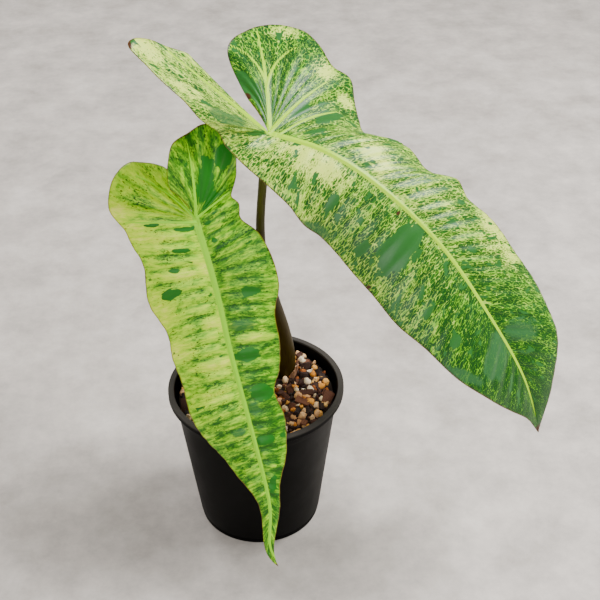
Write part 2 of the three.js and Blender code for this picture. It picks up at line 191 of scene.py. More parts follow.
def skinned(name: str, rings: Array) -> Object:
    """Makes a closed body from rings of corners, with both ends capped.

    Args:
        name: the object's name.
        rings: array of rings, corners and x, y, z.

    Returns:
        The mesh object.
    """
    levels, count, _ = rings.shape
    first, top = levels * count, (levels - 1) * count
    faces = ring_faces(levels, count)
    faces += [(first, (i + 1) % count, i) for i in range(count)]
    faces += [(first + 1, top + i, top + (i + 1) % count) for i in range(count)]
    return mesh_object(name, np.vstack([rings.reshape(-1, 3), rings[0].mean(0), rings[-1].mean(0)]), faces)


def store(made: Object, name: str, values: Array) -> None:
    """Stores one number for each corner of a mesh as an attribute, or one u, v pair as a UV map.

    Args:
        made: the mesh object.
        name: the attribute's or the map's name, as the material reads it.
        values: one number or one pair a corner.
    """
    mesh, values = made.data, np.asarray(values, np.float32)
    if values.ndim == 1:
        mesh.attributes.new(name, "FLOAT", "POINT").data.foreach_set("value", values)
        return
    corners = np.empty(len(mesh.loops), np.int32)
    mesh.loops.foreach_get("vertex_index", corners)
    mesh.uv_layers.new(name=name).data.foreach_set("uv", values[corners].ravel())


def smooth_rows(rows: Array, places: Array) -> Array:
    """Reads rows of numbers at fractional places, on a smooth curve through them.

    Args:
        rows: the rows.
        places: where to read, 0 being the first row.

    Returns:
        One row a place.
    """
    rows, places = np.asarray(rows, float), np.asarray(places, float)
    padded = np.vstack([2 * rows[0] - rows[1], rows, 2 * rows[-1] - rows[-2]])
    i = np.clip(np.floor(places).astype(int), 0, len(rows) - 2)
    f = (places - i)[:, None]
    p, q, r, s = padded[i], padded[i + 1], padded[i + 2], padded[i + 3]
    return 0.5 * (2 * q + f * (r - p + f * (2 * p - 5 * q + 4 * r - s + f * (3 * q - p - 3 * r + s))))


def unit(vectors: Array) -> Array:
    """Returns the vectors at length 1."""
    return vectors / np.maximum(np.linalg.norm(vectors, axis=-1, keepdims=True), 1e-12)


def ease(low: float, high: float, values: Array) -> Array:
    """Returns a smooth step from 0 at low to 1 at high."""
    share = np.clip((values - low) / (high - low), 0, 1)
    return share * share * (3 - 2 * share)


def distance_to_path(points: Array, path: Array) -> tuple[Array, Array]:
    """Finds how far points are from a path of straight steps.

    Args:
        points: array of places.
        path: the path's own places.

    Returns:
        Each point's distance, and the share of the path at its nearest place.
    """
    best = np.full(points.shape[:-1], np.inf)
    share = np.zeros_like(best)
    steps = len(path) - 1
    for k in range(steps):
        span = path[k + 1] - path[k]
        f = np.clip(((points - path[k]) @ span) / max(span @ span, 1e-12), 0, 1)
        away = np.linalg.norm(points - path[k] - f[..., None] * span, axis=-1)
        nearer = away < best
        best, share = np.where(nearer, away, best), np.where(nearer, (k + f) / steps, share)
    return best, share


@dataclass(frozen=True)
class Finish:
    """A procedural material."""

    name: str

    def build(self) -> Material:
        """Makes the material.

        Returns:
            The material.
        """
        material = bpy.data.materials.new(self.name)
        material.use_nodes = True
        self.paint(material.node_tree)
        return material

    def paint(self, tree: NodeTree) -> None:
        """Adds the finish's nodes to the tree."""
        raise NotImplementedError

    @staticmethod
    def join(tree: NodeTree, color: NodeSocket, gloss: tuple, relief: tuple, own: dict | None = None) -> None:
        """Joins colour, gloss and relief to the shader.

        Args:
            tree: the material's tree.
            color: the colour.
            gloss: a noise, and the roughness at its lowest and highest.
            relief: a noise, and the relief's strength and depth.
            own: values of the shader's own sockets.
        """
        shader = tree.nodes["Principled BSDF"]
        noise, low, high = gloss
        rough = add(tree, "ShaderNodeMapRange", {"Value": noise, "To Min": low, "To Max": high})
        noise, strength, depth = relief
        bump = add(tree, "ShaderNodeBump", {"Height": noise, "Strength": strength, "Distance": depth * MM})
        for name, socket in (("Base Color", color), ("Roughness", rough), ("Normal", bump)):
            tree.links.new(socket, shader.inputs[name])
        for name, value in (own or {}).items():
            shader.inputs[name].default_value = value


# Blades


class Side(Enum):
    """A blade's half, looking along the midrib from the joint with the upper face up."""

    RIGHT = 1
    LEFT = -1


class Mark(Enum):
    """What a marked area of a blade shows."""

    SOLID = "solid"  # one deep green, without flecks
    BLUE = "blue"  # green under a grey bloom, and in one place a painted sheen
    PALE = "pale"  # cream, and on the dark blade in places a painted highlight
    DRY = "dry"  # dead brown tissue


@dataclass(frozen=True)
class Rib:
    """A raised side vein, from one place among a half's rows and shares to another.

    Without a starting row it keeps to its own row.
    """

    side: Side
    row: float
    until: float
    width: float
    tip_width: float = 0.5
    start_row: float | None = None
    start: float = 0.0


@dataclass(frozen=True)
class BladeShape:
    """A blade as two fans of side veins.

    A row of a half holds where the vein leaves the midrib, its bearing as it leaves and at the margin, its
    length, and how far it lifts out of the blade's plane.
    """

    midrib: tuple[Row, ...]
    facing: Row
    halves: dict[Side, tuple[Row, ...]]
    ruffle: float  # height of the margin's waves
    ruffle_rows: float  # rows that one wave takes


LEFT_LEAF = BladeShape(
    midrib=(
        (-35, -20, 274), (-24, -36, 229), (-16, -51, 186), (-5, -68, 137), (6, -87, 83), (5.5, -98.5, 52),
        (11.5, -103.5, 37),
    ),
    facing=(0, -1, 0.3),
    halves={
        Side.RIGHT: (
            (0, 160, 162, 31, -20), (0, 153, 160.5, 42, -28), (0, 147, 150, 51.5, -24),
            (0, 139, 142.5, 58, -17), (0, 129, 130, 60.5, -10), (0, 115, 111, 57, -4),
            (5, 108, 103, 49, -2), (16, 105, 102.5, 47, -2), (30, 101, 99.5, 43, -5),
            (48, 94, 86.5, 47, -5.5), (70, 92, 83, 39.5, -6), (92, 93, 88, 40, -8), (112, 93, 89, 39, -9),
            (128, 88, 80, 39, -8.5), (150, 85, 78, 34, -13), (172, 83, 77, 23.5, -16),
            (192, 74, 68, 12.5, -8), (210, 54, 52, 9, -8), (230, 24, 22, 10, -8), (246, 0, 0, 12, 0),
        ),
        Side.LEFT: (
            (0, 186, 201.5, 29, 24), (0, 172, 188, 46, 27), (0, 162, 179, 57, 20),
            (0, 152, 168.5, 58.5, 12), (0, 141, 156.5, 63, 5), (0, 131, 139, 54, -2),
            (0, 121, 124, 41, -8), (0, 112, 109, 28, -6), (5, 107, 104.5, 31, 4),
            (16, 106, 105.5, 29.5, -1), (30, 103, 102.5, 39, 1), (48, 92, 83, 42, 4),
            (70, 91, 84.5, 35, -3), (92, 90, 84.5, 34, -5.5), (112, 90, 83, 29.5, -7),
            (128, 91, 86.5, 22, -8), (150, 91, 88, 24.5, -10), (172, 88, 84, 20, -10.5),
            (192, 73, 68, 10.5, -10.5), (210, 42, 38, 10, -8), (230, 30, 28, 8, -5), (246, 0, 0, 12, 0),
        ),
    },
    ruffle=1.6,
    ruffle_rows=2.6,
)

RIGHT_LEAF = BladeShape(
    midrib=(
        (15, 10, 319), (52, -4, 311), (89, -17, 288), (126, -30, 252), (157, -42, 207), (185, -52, 157),
        (200, -57, 109),
    ),
    facing=(0.2, -0.6, 1),
    halves={
        Side.RIGHT: (
            (0, 186, 200, 34, -10), (0, 183, 196, 60, 4), (0, 180, 189, 78, 24), (0, 176, 180.5, 76, 44),
            (0, 170, 173.5, 90.5, 46.5), (0, 163, 167.5, 109, 46), (0, 155, 159, 120, 45.5),
            (0, 147, 150.5, 104, 47.5), (0, 137, 138, 88.5, 48), (0, 130, 129, 71.5, 44.5),
            (0, 125, 127, 47, 37.5), (0, 121, 122, 37.5, 20.5), (5, 118, 117.5, 33, 6.5),
            (18, 112, 109.5, 36, -4.5), (34, 100, 93, 43.5, -17), (52, 96, 91, 49, -26),
            (70, 97, 92, 49.5, -33), (88, 97, 92.5, 51.5, -34), (106, 94, 88, 54.5, -32.5),
            (124, 90, 82.5, 56, -29.5), (146, 84, 76, 58, -22), (170, 79, 70, 54, -11),
            (196, 72, 63.5, 51.5, -3.5), (220, 64, 57, 43, 0), (244, 49, 44, 32, 0.5),
            (266, 24, 22.5, 22, 3.5), (286, 0, 0, 18, 0),
        ),
        Side.LEFT: (
            (0, 136, 142, 27, 8), (0, 120, 139.5, 43.5, 8), (0, 115, 135.5, 68.5, 6),
            (0, 112, 124, 86.5, -1), (0, 105, 110, 101, -5), (0, 97, 96.5, 98, -6),
            (0, 88, 82.5, 83.5, -7.5), (0, 80, 76.5, 81.5, -9.5), (0, 72, 68.5, 86.5, -15),
            (5, 64, 60, 78, -24), (18, 53, 46.5, 59, -25), (34, 51, 44, 65, -19),
            (52, 55, 46.5, 56.5, -8.5), (70, 56, 46, 51.5, -6), (88, 60, 53, 58, -4),
            (106, 61, 55, 53, -3), (124, 62, 56, 58, -5), (146, 60, 53.5, 60, -5),
            (170, 57, 50, 65.5, -2.5), (196, 54, 47, 59.5, 1), (220, 51, 44.5, 49.5, 3.5),
            (244, 38, 33, 36, 3.5), (266, 20, 18, 26, 0), (286, 0, 0, 18, 0),
        ),
    },
    ruffle=1.2,
    ruffle_rows=2.8,
)


class Midrib:
    """The line that a blade's veins leave, and the frame at each place along it."""

    SAMPLES = 401

    def __init__(self, shape: BladeShape) -> None:
        """Samples the line.

        Args:
            shape: the blade's shape.
        """
        self.curve = smooth_rows(shape.midrib, np.linspace(0, len(shape.midrib) - 1, self.SAMPLES))
        steps = np.linalg.norm(np.diff(self.curve, axis=0), axis=1)
        self.stations = np.concatenate([[0.0], np.cumsum(steps)])
        self.facing = np.array(shape.facing, float)

    def frames(self, stations: Array) -> tuple[Array, Array, Array, Array]:
        """Gives the frame at distances along the line.

        Args:
            stations: distances from the joint.

        Returns:
            The points, and the ways along, up and across.
        """
        wanted = np.clip(stations, 0, self.stations[-1])
        after = np.maximum(1, np.searchsorted(self.stations, wanted, side="left"))
        share = (wanted - self.stations[after - 1]) / (self.stations[after] - self.stations[after - 1])
        point = self.curve[after - 1] + share[:, None] * (self.curve[after] - self.curve[after - 1])
        back, ahead = np.maximum(after - 3, 0), np.minimum(after + 2, self.SAMPLES - 1)
        along = unit(self.curve[ahead] - self.curve[back])
        up = unit(self.facing - (along @ self.facing)[:, None] * along)
        return point, along, up, np.cross(along, up)


class HalfBlade:
    """One half of a blade: its upper face as a surface over rows and shares of the way to the margin."""

    ARCH = 0.06  # rise of a vein's middle, as a share of its length
    LEAVING_LIFT = 0.75  # share of its lift that a vein has where it leaves the midrib
    TURN_RATE = 2.2  # how soon, along a vein, the thickness turns from the midrib's up to square
    ROW_STEP = 0.25  # how far to each side of a place its slopes are taken, in rows
    SHARE_STEP = 0.08  # and in shares of the way to the margin

    def __init__(self, shape: BladeShape, midrib: Midrib, side: Side) -> None:
        """Takes the rows of one half.

        Args:
            shape: the blade's shape.
            midrib: its sampled midrib.
            side: which half.
        """
        self.shape, self.midrib, self.side = shape, midrib, side
        self.rows = np.array(shape.halves[side], float)
        self.last = len(self.rows) - 1

    def way(self, frames: tuple, angle: Array, climb: Array) -> Array:
        """Gives directions by their bearing and climb.

        Args:
            frames: the midrib's frames there.
            angle: bearings from the way to the tip.
            climb: climbs out of the blade's plane.

        Returns:
            Directions of length 1.
        """
        _, along, up, across = frames
        a, c = np.radians(angle)[:, None], np.radians(climb)[:, None]
        return np.cos(c) * (np.cos(a) * along + self.side.value * np.sin(a) * across) + np.sin(c) * up

    def points(self, rows: Array, shares: Array) -> Array:
        """Gives points of the upper face.

        Args:
            rows: fractional places among the half's rows.
            shares: shares of the way out to the margin.

        Returns:
            Array of rows, shares and x, y, z.
        """
        root, leaving, bearing, reach, lift = smooth_rows(self.rows, rows).T
        frames = self.midrib.frames(np.maximum(root, 0))
        point, _, up, _ = frames
        end = self.way(frames, bearing, lift)
        start = self.way(frames, leaving, lift * self.LEAVING_LIFT)
        t = np.asarray(shares, float)[None, :, None]
        direction = start[:, None] * (1 - t) + end[:, None] * t
        crown = unit(up - (up * end).sum(1, keepdims=True) * end)
        # The margin's waves die out over the last three rows.
        from_tip = self.last - rows
        wave = np.sin(2 * np.pi * from_tip / self.shape.ruffle_rows) * np.minimum(1, from_tip / 3)
        long = reach[:, None, None]
        rise = self.ARCH * long * 4 * t * (1 - t) + self.shape.ruffle * wave[:, None, None] * t * t
        return point[:, None] + direction * long * t + crown[:, None] * rise

    def outward(self, rows: Array, shares: Array) -> tuple[Array, Array]:
        """Gives the way that the upper face looks, and how far apart neighbouring rows are.

        Args:
            rows: fractional places among the half's rows.
            shares: shares of the way out to the margin.

        Returns:
            Directions of length 1, and mm for each row.
        """
        q0, q1 = np.maximum(rows - self.ROW_STEP, 0), np.minimum(rows + self.ROW_STEP, self.last)
        t0, t1 = (np.clip(shares + step, 0.02, 1) for step in (-self.SHARE_STEP, self.SHARE_STEP))
        forward = self.points(q1, shares) - self.points(q0, shares)
        away = self.points(rows, t1) - self.points(rows, t0)
        square = unit(np.cross(away, forward) * self.side.value)
        up = self.midrib.frames(np.maximum(smooth_rows(self.rows, rows)[:, 0], 0))[2][:, None]
        tip = np.minimum(1, (self.last - rows) / 2)[:, None, None]
        own = np.minimum(1, shares * self.TURN_RATE)[None, :, None] * tip
        spread = np.linalg.norm(forward, axis=-1) / (q1 - q0)[:, None]
        return unit(up * (1 - own) + square * own), spread


@dataclass
class Blade:
    """A leaf blade: a thin curved sheet with a raised midrib, quilted between its side veins."""

    name: str
    shape: BladeShape
    slot: str
    finish: "LeafSkin"
    ribs: tuple[Rib, ...]
    areas: dict[tuple[Mark, Side], tuple[Row, ...]]  # middle's row and share, half the length and width
    tones: dict[Side, tuple[Row, ...]]  # rows and the paleness there
    cream: float = 1.0  # strength of its pale areas
    rows_apart: int = 16  # rings of corners between two rows
    levels: int = 44  # corners from the midrib to the margin
    crowding: float = 1.5  # how much closer the corners stand near the midrib
    thickness: float = 0.9
    margin_thickness: float = 0.45
    midrib_width: float = 2.5  # half the width, at the joint
    midrib_tip_width: float = 0.7
    midrib_rise: float = 0.9
    keel: float = 2.4  # depth of the midrib under the blade, at the joint
    keel_tip: float = 0.4
    rib_rise: float = 0.6
    rib_steps: int = 40
    vein_pitch: float = 9.5  # distance between neighbouring side veins, at mid-blade
    mid_blade: float = 0.6  # share of the way to the margin where that distance holds
    groove_width: float = 1.6
    quilting: float = 2.2  # how far the tissue swells between two side veins
    sinus_clear: float = 1.5  # how far the dry margin stays off the edges beside the joint
    left_offset: float = 400  # keeps the left half's pattern apart from the right half's

    def build(self) -> None:
        """Builds the blade's mesh and dresses it."""
        midrib = Midrib(self.shape)
        halves = {side: HalfBlade(self.shape, midrib, side) for side in Side}
        right = halves[Side.RIGHT]
        spine = np.vstack([midrib.curve, right.points(np.array([right.last]), np.linspace(0.1, 1, 10))[0]])
        paths = [(spine[::8], self.midrib_width, self.midrib_tip_width, self.midrib_rise)]
        for rib in self.ribs:
            rows = np.linspace(rib.row if rib.start_row is None else rib.start_row, rib.row, self.rib_steps)
            shares = np.linspace(rib.start, rib.until, self.rib_steps)
            half = halves[rib.side]
            path = [half.points(rows[k : k + 1], shares[k : k + 1])[0, 0] for k in range(self.rib_steps)]
            paths.append((np.array(path), rib.width, rib.tip_width, self.rib_rise))
        points, faces, columns = [], [], defaultdict(list)
        for half in halves.values():
            self.add_half(half, paths, points, faces, columns)
        made = mesh_object(self.name + "_blade", np.vstack(points), faces)
        for name, values in columns.items():
            store(made, name, np.concatenate(values))
        weld(made)
        place(made, self.slot, self.finish, self.name)

    def add_half(self, half: HalfBlade, paths: list, points: list, faces: list, columns: dict) -> None:
        """Adds one half's corners, faces and pattern values.

        Args:
            half: the half.
            paths: the midrib and ribs, each with its widths and rise.
            points: gets the corners.
            faces: gets the faces.
            columns: gets the pattern values.
        """
        rows = np.linspace(0, half.last, half.last * self.rows_apart + 1)
        shares = np.linspace(0, 1, self.levels) ** self.crowding
        base = half.points(rows, shares)
        out, spread = half.outward(rows, shares)
        reach = smooth_rows(half.rows, rows)[:, 3:4]
        pace = np.maximum(spread[:, np.argmin(np.abs(shares - self.mid_blade))], 0.5)
        across = np.concatenate([[0.0], np.cumsum((pace[1:] + pace[:-1]) / 2 * np.diff(rows))])
        phase = across / self.vein_pitch
        crowd = np.clip(spread / pace[:, None], 0, 1.15)
        # The tissue swells between the veins, less beside the midrib, at the margin and at the tip. The
        # power fills the swellings out, and taking 0.45 off keeps the blade's mean height.
        swell = np.abs(np.sin(np.pi * phase))[:, None] ** 0.75
        calm = (ease(0.01, 0.2, shares) * (1 - 0.7 * ease(0.55, 1, shares)))[None]
        tip = np.minimum(1, (half.last - rows) / 3)[:, None]
        height = self.quilting * (swell - 0.45) * crowd * calm * tip
        rib, depth = np.zeros_like(height), np.zeros_like(height)
        # A rib stands as a bell of 0.7 of its width, and clears the swellings away over 1.3 of it.
        for i, (path, width, tip_width, rise) in enumerate(paths):
            away, share = distance_to_path(base, path)
            wide = width + (tip_width - width) * share
            rib = np.maximum(rib, 1 - ease(0.7, 1.15, away / wide))
            bump = np.exp(-((away / (0.7 * wide)) ** 2)) * rise * wide / width
            height = np.maximum(height * (1 - np.exp(-((away / (1.3 * wide)) ** 2))), bump)
            if i == 0:
                depth = np.exp(-((away / wide) ** 2)) * (self.keel + (self.keel_tip - self.keel) * share)
        # The blade thins near its margin, and its lower skin follows half of the upper one's relief.
        thin = self.thickness + (self.margin_thickness - self.thickness) * ease(0.88, 1, shares)
        skins = base + out * height[..., None], base + out * (height * 0.5 - thin[None] - depth)[..., None]
        beside = self.sinus_clear * (1 - ease(0.15, 0.45, shares))[None]
        margin = np.minimum((1 - shares)[None] * reach, distance_to_path(base, base[0][::3])[0] + beside)
        from_vein = np.minimum(phase % 1, 1 - phase % 1)[:, None] * crowd * self.vein_pitch
        groove = np.exp(-((from_vein / self.groove_width) ** 2)) * calm * np.minimum(1, crowd)
        veins = np.stack([reach * shares, np.broadcast_to(across[:, None], base.shape[:2])], -1)
        veins[..., 1] += self.left_offset if half.side is Side.LEFT else 0
        values = {"rib": rib, "edge": margin, "groove": groove, **self.marks(half, base)}
        knots = np.array(self.tones[half.side])
        toned = np.interp(rows, knots[:, 0], knots[:, 1])[:, None]
        values["pale"] = self.cream * values["pale"] + toned
        start, count = sum(len(p) for p in points), len(rows) * len(shares)
        for under, skin in enumerate(skins):
            points.append(skin.reshape(-1, 3))
            columns["under"].append(np.full(count, float(under)))
            columns["veins"].append(veins.reshape(-1, 2))
            for name, column in values.items():
                columns[name].append(column.ravel())
        faces += self.sheet_faces(start, count, len(rows), len(shares), half.side is Side.RIGHT)

    def marks(self, half: HalfBlade, base: Array) -> dict[str, Array]:
        """Gives how deep each corner of a half lies inside its marked areas.

        Args:
            half: the half.
            base: its corners.

        Returns:
            For each mark's name, 1 in the middle of an area, 0.4 on its outline and 0 outside.
        """
        found = {mark.value: np.zeros(base.shape[:2]) for mark in Mark}
        for (mark, side), rows in self.areas.items():
            for row, share, length, width in rows if side is half.side else ():
                near = half.points(np.array([row]), np.array([share, share + 0.03]))[0]
                offset = base - near[0]
                lengthways = offset @ unit(near[1] - near[0])
                sideways = np.sqrt(np.maximum((offset**2).sum(-1) - lengthways**2, 0))
                inside = np.clip(1.4 - np.hypot(lengthways / length, sideways / width), 0, 1)
                found[mark.value] = np.maximum(found[mark.value], inside)
        return found

    @staticmethod
    def sheet_faces(start: int, count: int, rows: int, levels: int, flip: bool) -> list:
        """Lists the faces of one half: both skins, the margin and the edge beside the sinus.

        Args:
            start: number of its first corner.
            count: corners in one skin.
            rows: rings of corners.
            levels: corners in a ring.
            flip: whether the upper skin's corners run the other way round.

        Returns:
            Tuples of corner numbers.
        """
        faces = []
        for i in range(rows - 1):
            for k in range(levels - 1):
                a = start + i * levels + k
                quad = (a, a + levels, a + levels + 1, a + 1)
                under = tuple(c + count for c in quad)
                faces += [quad[::-1], under] if flip else [quad, under[::-1]]
        rims = [(start + (i + 1) * levels - 1, start + (i + 2) * levels - 1) for i in range(rows - 1)]
        rims += [(start + k, start + k + 1) for k in range(levels - 1)]
        for m, n in rims:
            wall = (m, n, n + count, m + count)
            faces.append(wall[::-1] if flip else wall)
        return faces


class Pattern(Enum):
    """How the two greens of a blade are mixed."""

    FLECKED = "flecked"  # a light ground with fine dark flecks along the veins
    NETTED = "netted"  # a dark ground under a pale net along the veins


@dataclass(frozen=True)
class LeafSkin(Finish):
    """Living leaf skin with a waxy cuticle, mottled by cells without green.

    It gives the eye a satin sheet with soft window-like glints, fine flecks that run out along the side
    veins, and a bright midrib. IOR of cuticle wax is about 1.45.
    """

    pattern: Pattern
    ground: tuple[tuple[float, str], ...]  # tissue colours from deep to pale
    fleck: str
    solid: str
    blue: str
    pale: str
    rib: str
    margin: str
    under: str
    roughness: float
    coat: float
    pulls: Row  # how clouds, grooves and paleness pull the flecks
    level: float  # level of the pulled flecks from which they show
    blotches: float  # level of the blotch noise from which the skin is solid green
    dry: str = "#46280e"

    # Length and width of each noise's grain in mm, and its levels of finer noise
    GRAINS = {
        "streak": (6.5, 2.0, 3.0),
        "cloud": (16.0, 10.0, 2.0),  # in which flecks gather
        "fleck": (2.1, 0.8, 2.0),
        "blotch": (13.0, 7.0, 2.5),
    }
    MESH = (4.8, 1.6)  # mm, length and width of a cell of the net
    ATTRIBUTES = ("pale", "groove", "solid", "blue", "rib", "dry", "edge", "under")

    def paint(self, tree: NodeTree) -> None:
        """Adds the finish's nodes.

        Args:
            tree: the material's tree.
        """
        veins = add(tree, "ShaderNodeUVMap", {}, uv_map="veins")
        noise = {}
        for name, (length, width, detail) in self.GRAINS.items():
            scaled = add(tree, "ShaderNodeMapping", {"Vector": veins, "Scale": (1 / length, 1 / width, 1)})
            inputs = {"Vector": scaled, "Scale": 1.0, "Detail": detail, "Roughness": 0.6, "Distortion": 0.35}
            noise[name] = add(tree, "ShaderNodeTexNoise", inputs)
        value = {}
        for name in self.ATTRIBUTES:
            value[name] = add(tree, "ShaderNodeAttribute", {}, out="Fac", attribute_name=name)
        color = self.marked(tree, self.tissue(tree, veins, noise, value), noise, value)
        own = {
            "IOR": 1.45,
            "Coat Weight": self.coat,
            "Coat Roughness": 0.3,
            "Specular IOR Level": 0.35,
            "Subsurface Weight": 0.12,
            "Subsurface Radius": (0.6, 1.0, 0.2),
            "Subsurface Scale": 1.5 * MM,
        }
        gloss = (noise["streak"], self.roughness - 0.05, self.roughness + 0.08)
        # Skin cells are far under a millimetre: the relief is drawn as fine as the flecks, so that it shows.
        self.join(tree, color, gloss, (noise["fleck"], 0.25, 0.4), own)

    def tissue(self, tree: NodeTree, veins: NodeSocket, noise: dict, value: dict) -> NodeSocket:
        """Mixes the ground with its flecks or its net.

        Args:
            tree: the material's tree.
            veins: places along and across the veins, in mm.
            noise: the noises by name.
            value: the blade's attributes by name.

        Returns:
            The colour.
        """
        pale, groove, cloud = value["pale"], value["groove"], noise["cloud"]
        # Streaks make the tone, moved by the paleness, by clouds about their mean, and by grooves.
        lifted = add(tree, "ShaderNodeMath", {0: pale, 1: 0.3, 2: noise["streak"]}, operation="MULTIPLY_ADD")
        tone = lifted
        # Grooves darken the tone: in part the pattern's own dark bands, in part painted shade in the creases.
        for socket, weight in ((cloud, 0.45), (groove, -0.16)):
            tone = add(tree, "ShaderNodeMath", {0: socket, 1: weight, 2: tone}, operation="MULTIPLY_ADD")
        tone = add(tree, "ShaderNodeMath", {0: tone, 1: 0.225}, operation="SUBTRACT")
        ground = add(tree, "ShaderNodeValToRGB", {"Fac": tone}, self.ground)
        pulled = noise["fleck"]
        for socket, weight in zip((cloud, groove, pale), self.pulls):
            pulled = add(tree, "ShaderNodeMath", {0: socket, 1: weight, 2: pulled}, operation="MULTIPLY_ADD")
        inputs = {"Value": pulled, "From Min": self.level, "From Max": self.level + 0.08}
        mask = add(tree, "ShaderNodeMapRange", inputs)
        tint = linear(self.fleck)
        if self.pattern is Pattern.NETTED:
            net = self.net(tree, veins, pulled)
            mask = add(tree, "ShaderNodeMath", {0: mask, 1: net}, operation="MAXIMUM", use_clamp=True)
            paler = add(tree, "ShaderNodeMapRange", {"Value": lifted, "From Min": 0.35, "From Max": 0.7})
            inputs = {0: paler, 6: tint, 7: linear(self.pale)}
            tint = add(tree, "ShaderNodeMix", inputs, out=2, data_type="RGBA")
        return add(tree, "ShaderNodeMix", {0: mask, 6: ground, 7: tint}, out=2, data_type="RGBA")

    def net(self, tree: NodeTree, veins: NodeSocket, pulled: NodeSocket) -> NodeSocket:
        """Adds the pale lines between cells that are drawn out along the veins.

        Args:
            tree: the material's tree.
            veins: places along and across the veins, in mm.
            pulled: noise that thins the lines in places.

        Returns:
            The lines, from 0 to 1.
        """
        scale = (1 / self.MESH[0], 1 / self.MESH[1], 1)
        scaled = add(tree, "ShaderNodeMapping", {"Vector": veins, "Scale": scale})
        wander = add(tree, "ShaderNodeTexNoise", {"Vector": scaled, "Scale": 0.9, "Detail": 2.0}, out=1)
        # The cells' borders wander by about half a cell.
        inputs = {0: wander, 1: (1.1, 1.1, 0), 2: scaled}
        moved = add(tree, "ShaderNodeVectorMath", inputs, operation="MULTIPLY_ADD")
        cells = add(tree, "ShaderNodeTexVoronoi", {"Vector": moved, "Scale": 1.0}, feature="DISTANCE_TO_EDGE")
        inputs = {"Value": pulled, "From Min": 0.8, "From Max": 1.22, "To Min": 0.01, "To Max": 0.19}
        width = add(tree, "ShaderNodeMapRange", inputs)
        share = add(tree, "ShaderNodeMath", {0: cells, 1: width}, operation="DIVIDE")
        inputs = {"Value": share, "From Min": 0.35, "From Max": 1.25, "To Min": 1.0, "To Max": 0.0}
        return add(tree, "ShaderNodeMapRange", inputs)

    def marked(self, tree: NodeTree, color: NodeSocket, noise: dict, value: dict) -> NodeSocket:
        """Lays the solid areas, the ribs, the margin and the underside over the tissue.

        Args:
            tree: the material's tree.
            color: the tissue's colour.
            noise: the noises by name.
            value: the blade's attributes by name.

        Returns:
            The colour.
        """
        inputs = {"Value": noise["blotch"], "From Min": self.blotches, "From Max": self.blotches + 0.03}
        masks = [(add(tree, "ShaderNodeMapRange", inputs), self.solid)]
        # Levels of an attribute between which its layer sets in, the layer's strength, the noise that bends
        # its outline, and how much that noise and the flecks do so
        layers = (
            ("solid", self.solid, 0.36, 0.41, 1.0, "blotch", 2.2, 0.25),
            ("blue", self.blue, 0.25, 0.6, 0.8, "blotch", 1.6, 0.7),
            ("rib", self.rib, 0.3, 0.7, 1.0, "streak", 0.1, 0.25),
            ("dry", self.dry, 0.3, 0.6, 1.0, "streak", 0.3, 0.2),
        )
        for name, hue, low, high, strength, bend, broad, fine in layers:
            frayed = value[name]
            for socket, weight in ((noise[bend], broad), (noise["fleck"], fine)):
                inputs = {0: socket, 1: weight, 2: frayed}
                frayed = add(tree, "ShaderNodeMath", inputs, operation="MULTIPLY_ADD")
            low, high = (edge + (broad + fine) / 2 for edge in (low, high))
            inputs = {"Value": frayed, "From Min": low, "From Max": high, "To Max": strength}
            masks.append((add(tree, "ShaderNodeMapRange", inputs), hue))
        # The dry line round a blade is about 0.5 mm wide.
        inputs = {"Value": value["edge"], "From Min": 0.35, "From Max": 0.8, "To Min": 0.7, "To Max": 0.0}
        masks.append((add(tree, "ShaderNodeMapRange", inputs), self.margin))
        faded = add(tree, "ShaderNodeMath", {0: value["under"], 1: 0.55}, operation="MULTIPLY")
        masks.append((faded, self.under))
        for mask, hue in masks:
            color = add(tree, "ShaderNodeMix", {0: mask, 6: color, 7: linear(hue)}, out=2, data_type="RGBA")
        return color


# Stalks, stem and sheath


@dataclass(frozen=True)
class StalkSkin(Finish):
    """Smooth leaf-stalk skin: dull and a little waxy, olive with fine brown streaks along it."""

    low: str
    high: str
    streak: str = "#281400"
    roughness: float = 0.5

    def paint(self, tree: NodeTree) -> None:
        """Adds the finish's nodes.

        Args:
            tree: the material's tree.
        """
        around = add(tree, "ShaderNodeUVMap", {}, uv_map="around")
        height = add(tree, "ShaderNodeAttribute", {}, out="Fac", attribute_name="height")
        ramp = ((0.0, self.low), (0.55, self.low), (0.97, self.high))
        ground = add(tree, "ShaderNodeValToRGB", {"Fac": height}, ramp)
        # Streaks are about 0.8 mm wide and 9 mm long.
        scaled = add(tree, "ShaderNodeMapping", {"Vector": around, "Scale": (1 / 0.8, 1 / 9, 1)})
        noise = add(tree, "ShaderNodeTexNoise", {"Vector": scaled, "Scale": 1.0, "Detail": 3.0})
        inputs = {"Value": noise, "From Min": 0.48, "From Max": 0.72, "To Max": 0.7}
        inputs = {0: add(tree, "ShaderNodeMapRange", inputs), 6: ground, 7: linear(self.streak)}
        color = add(tree, "ShaderNodeMix", inputs, out=2, data_type="RGBA")
        gloss = (noise, self.roughness - 0.1, self.roughness + 0.1)
        self.join(tree, color, gloss, (noise, 0.35, 0.3), {"IOR": 1.45, "Specular IOR Level": 0.3})


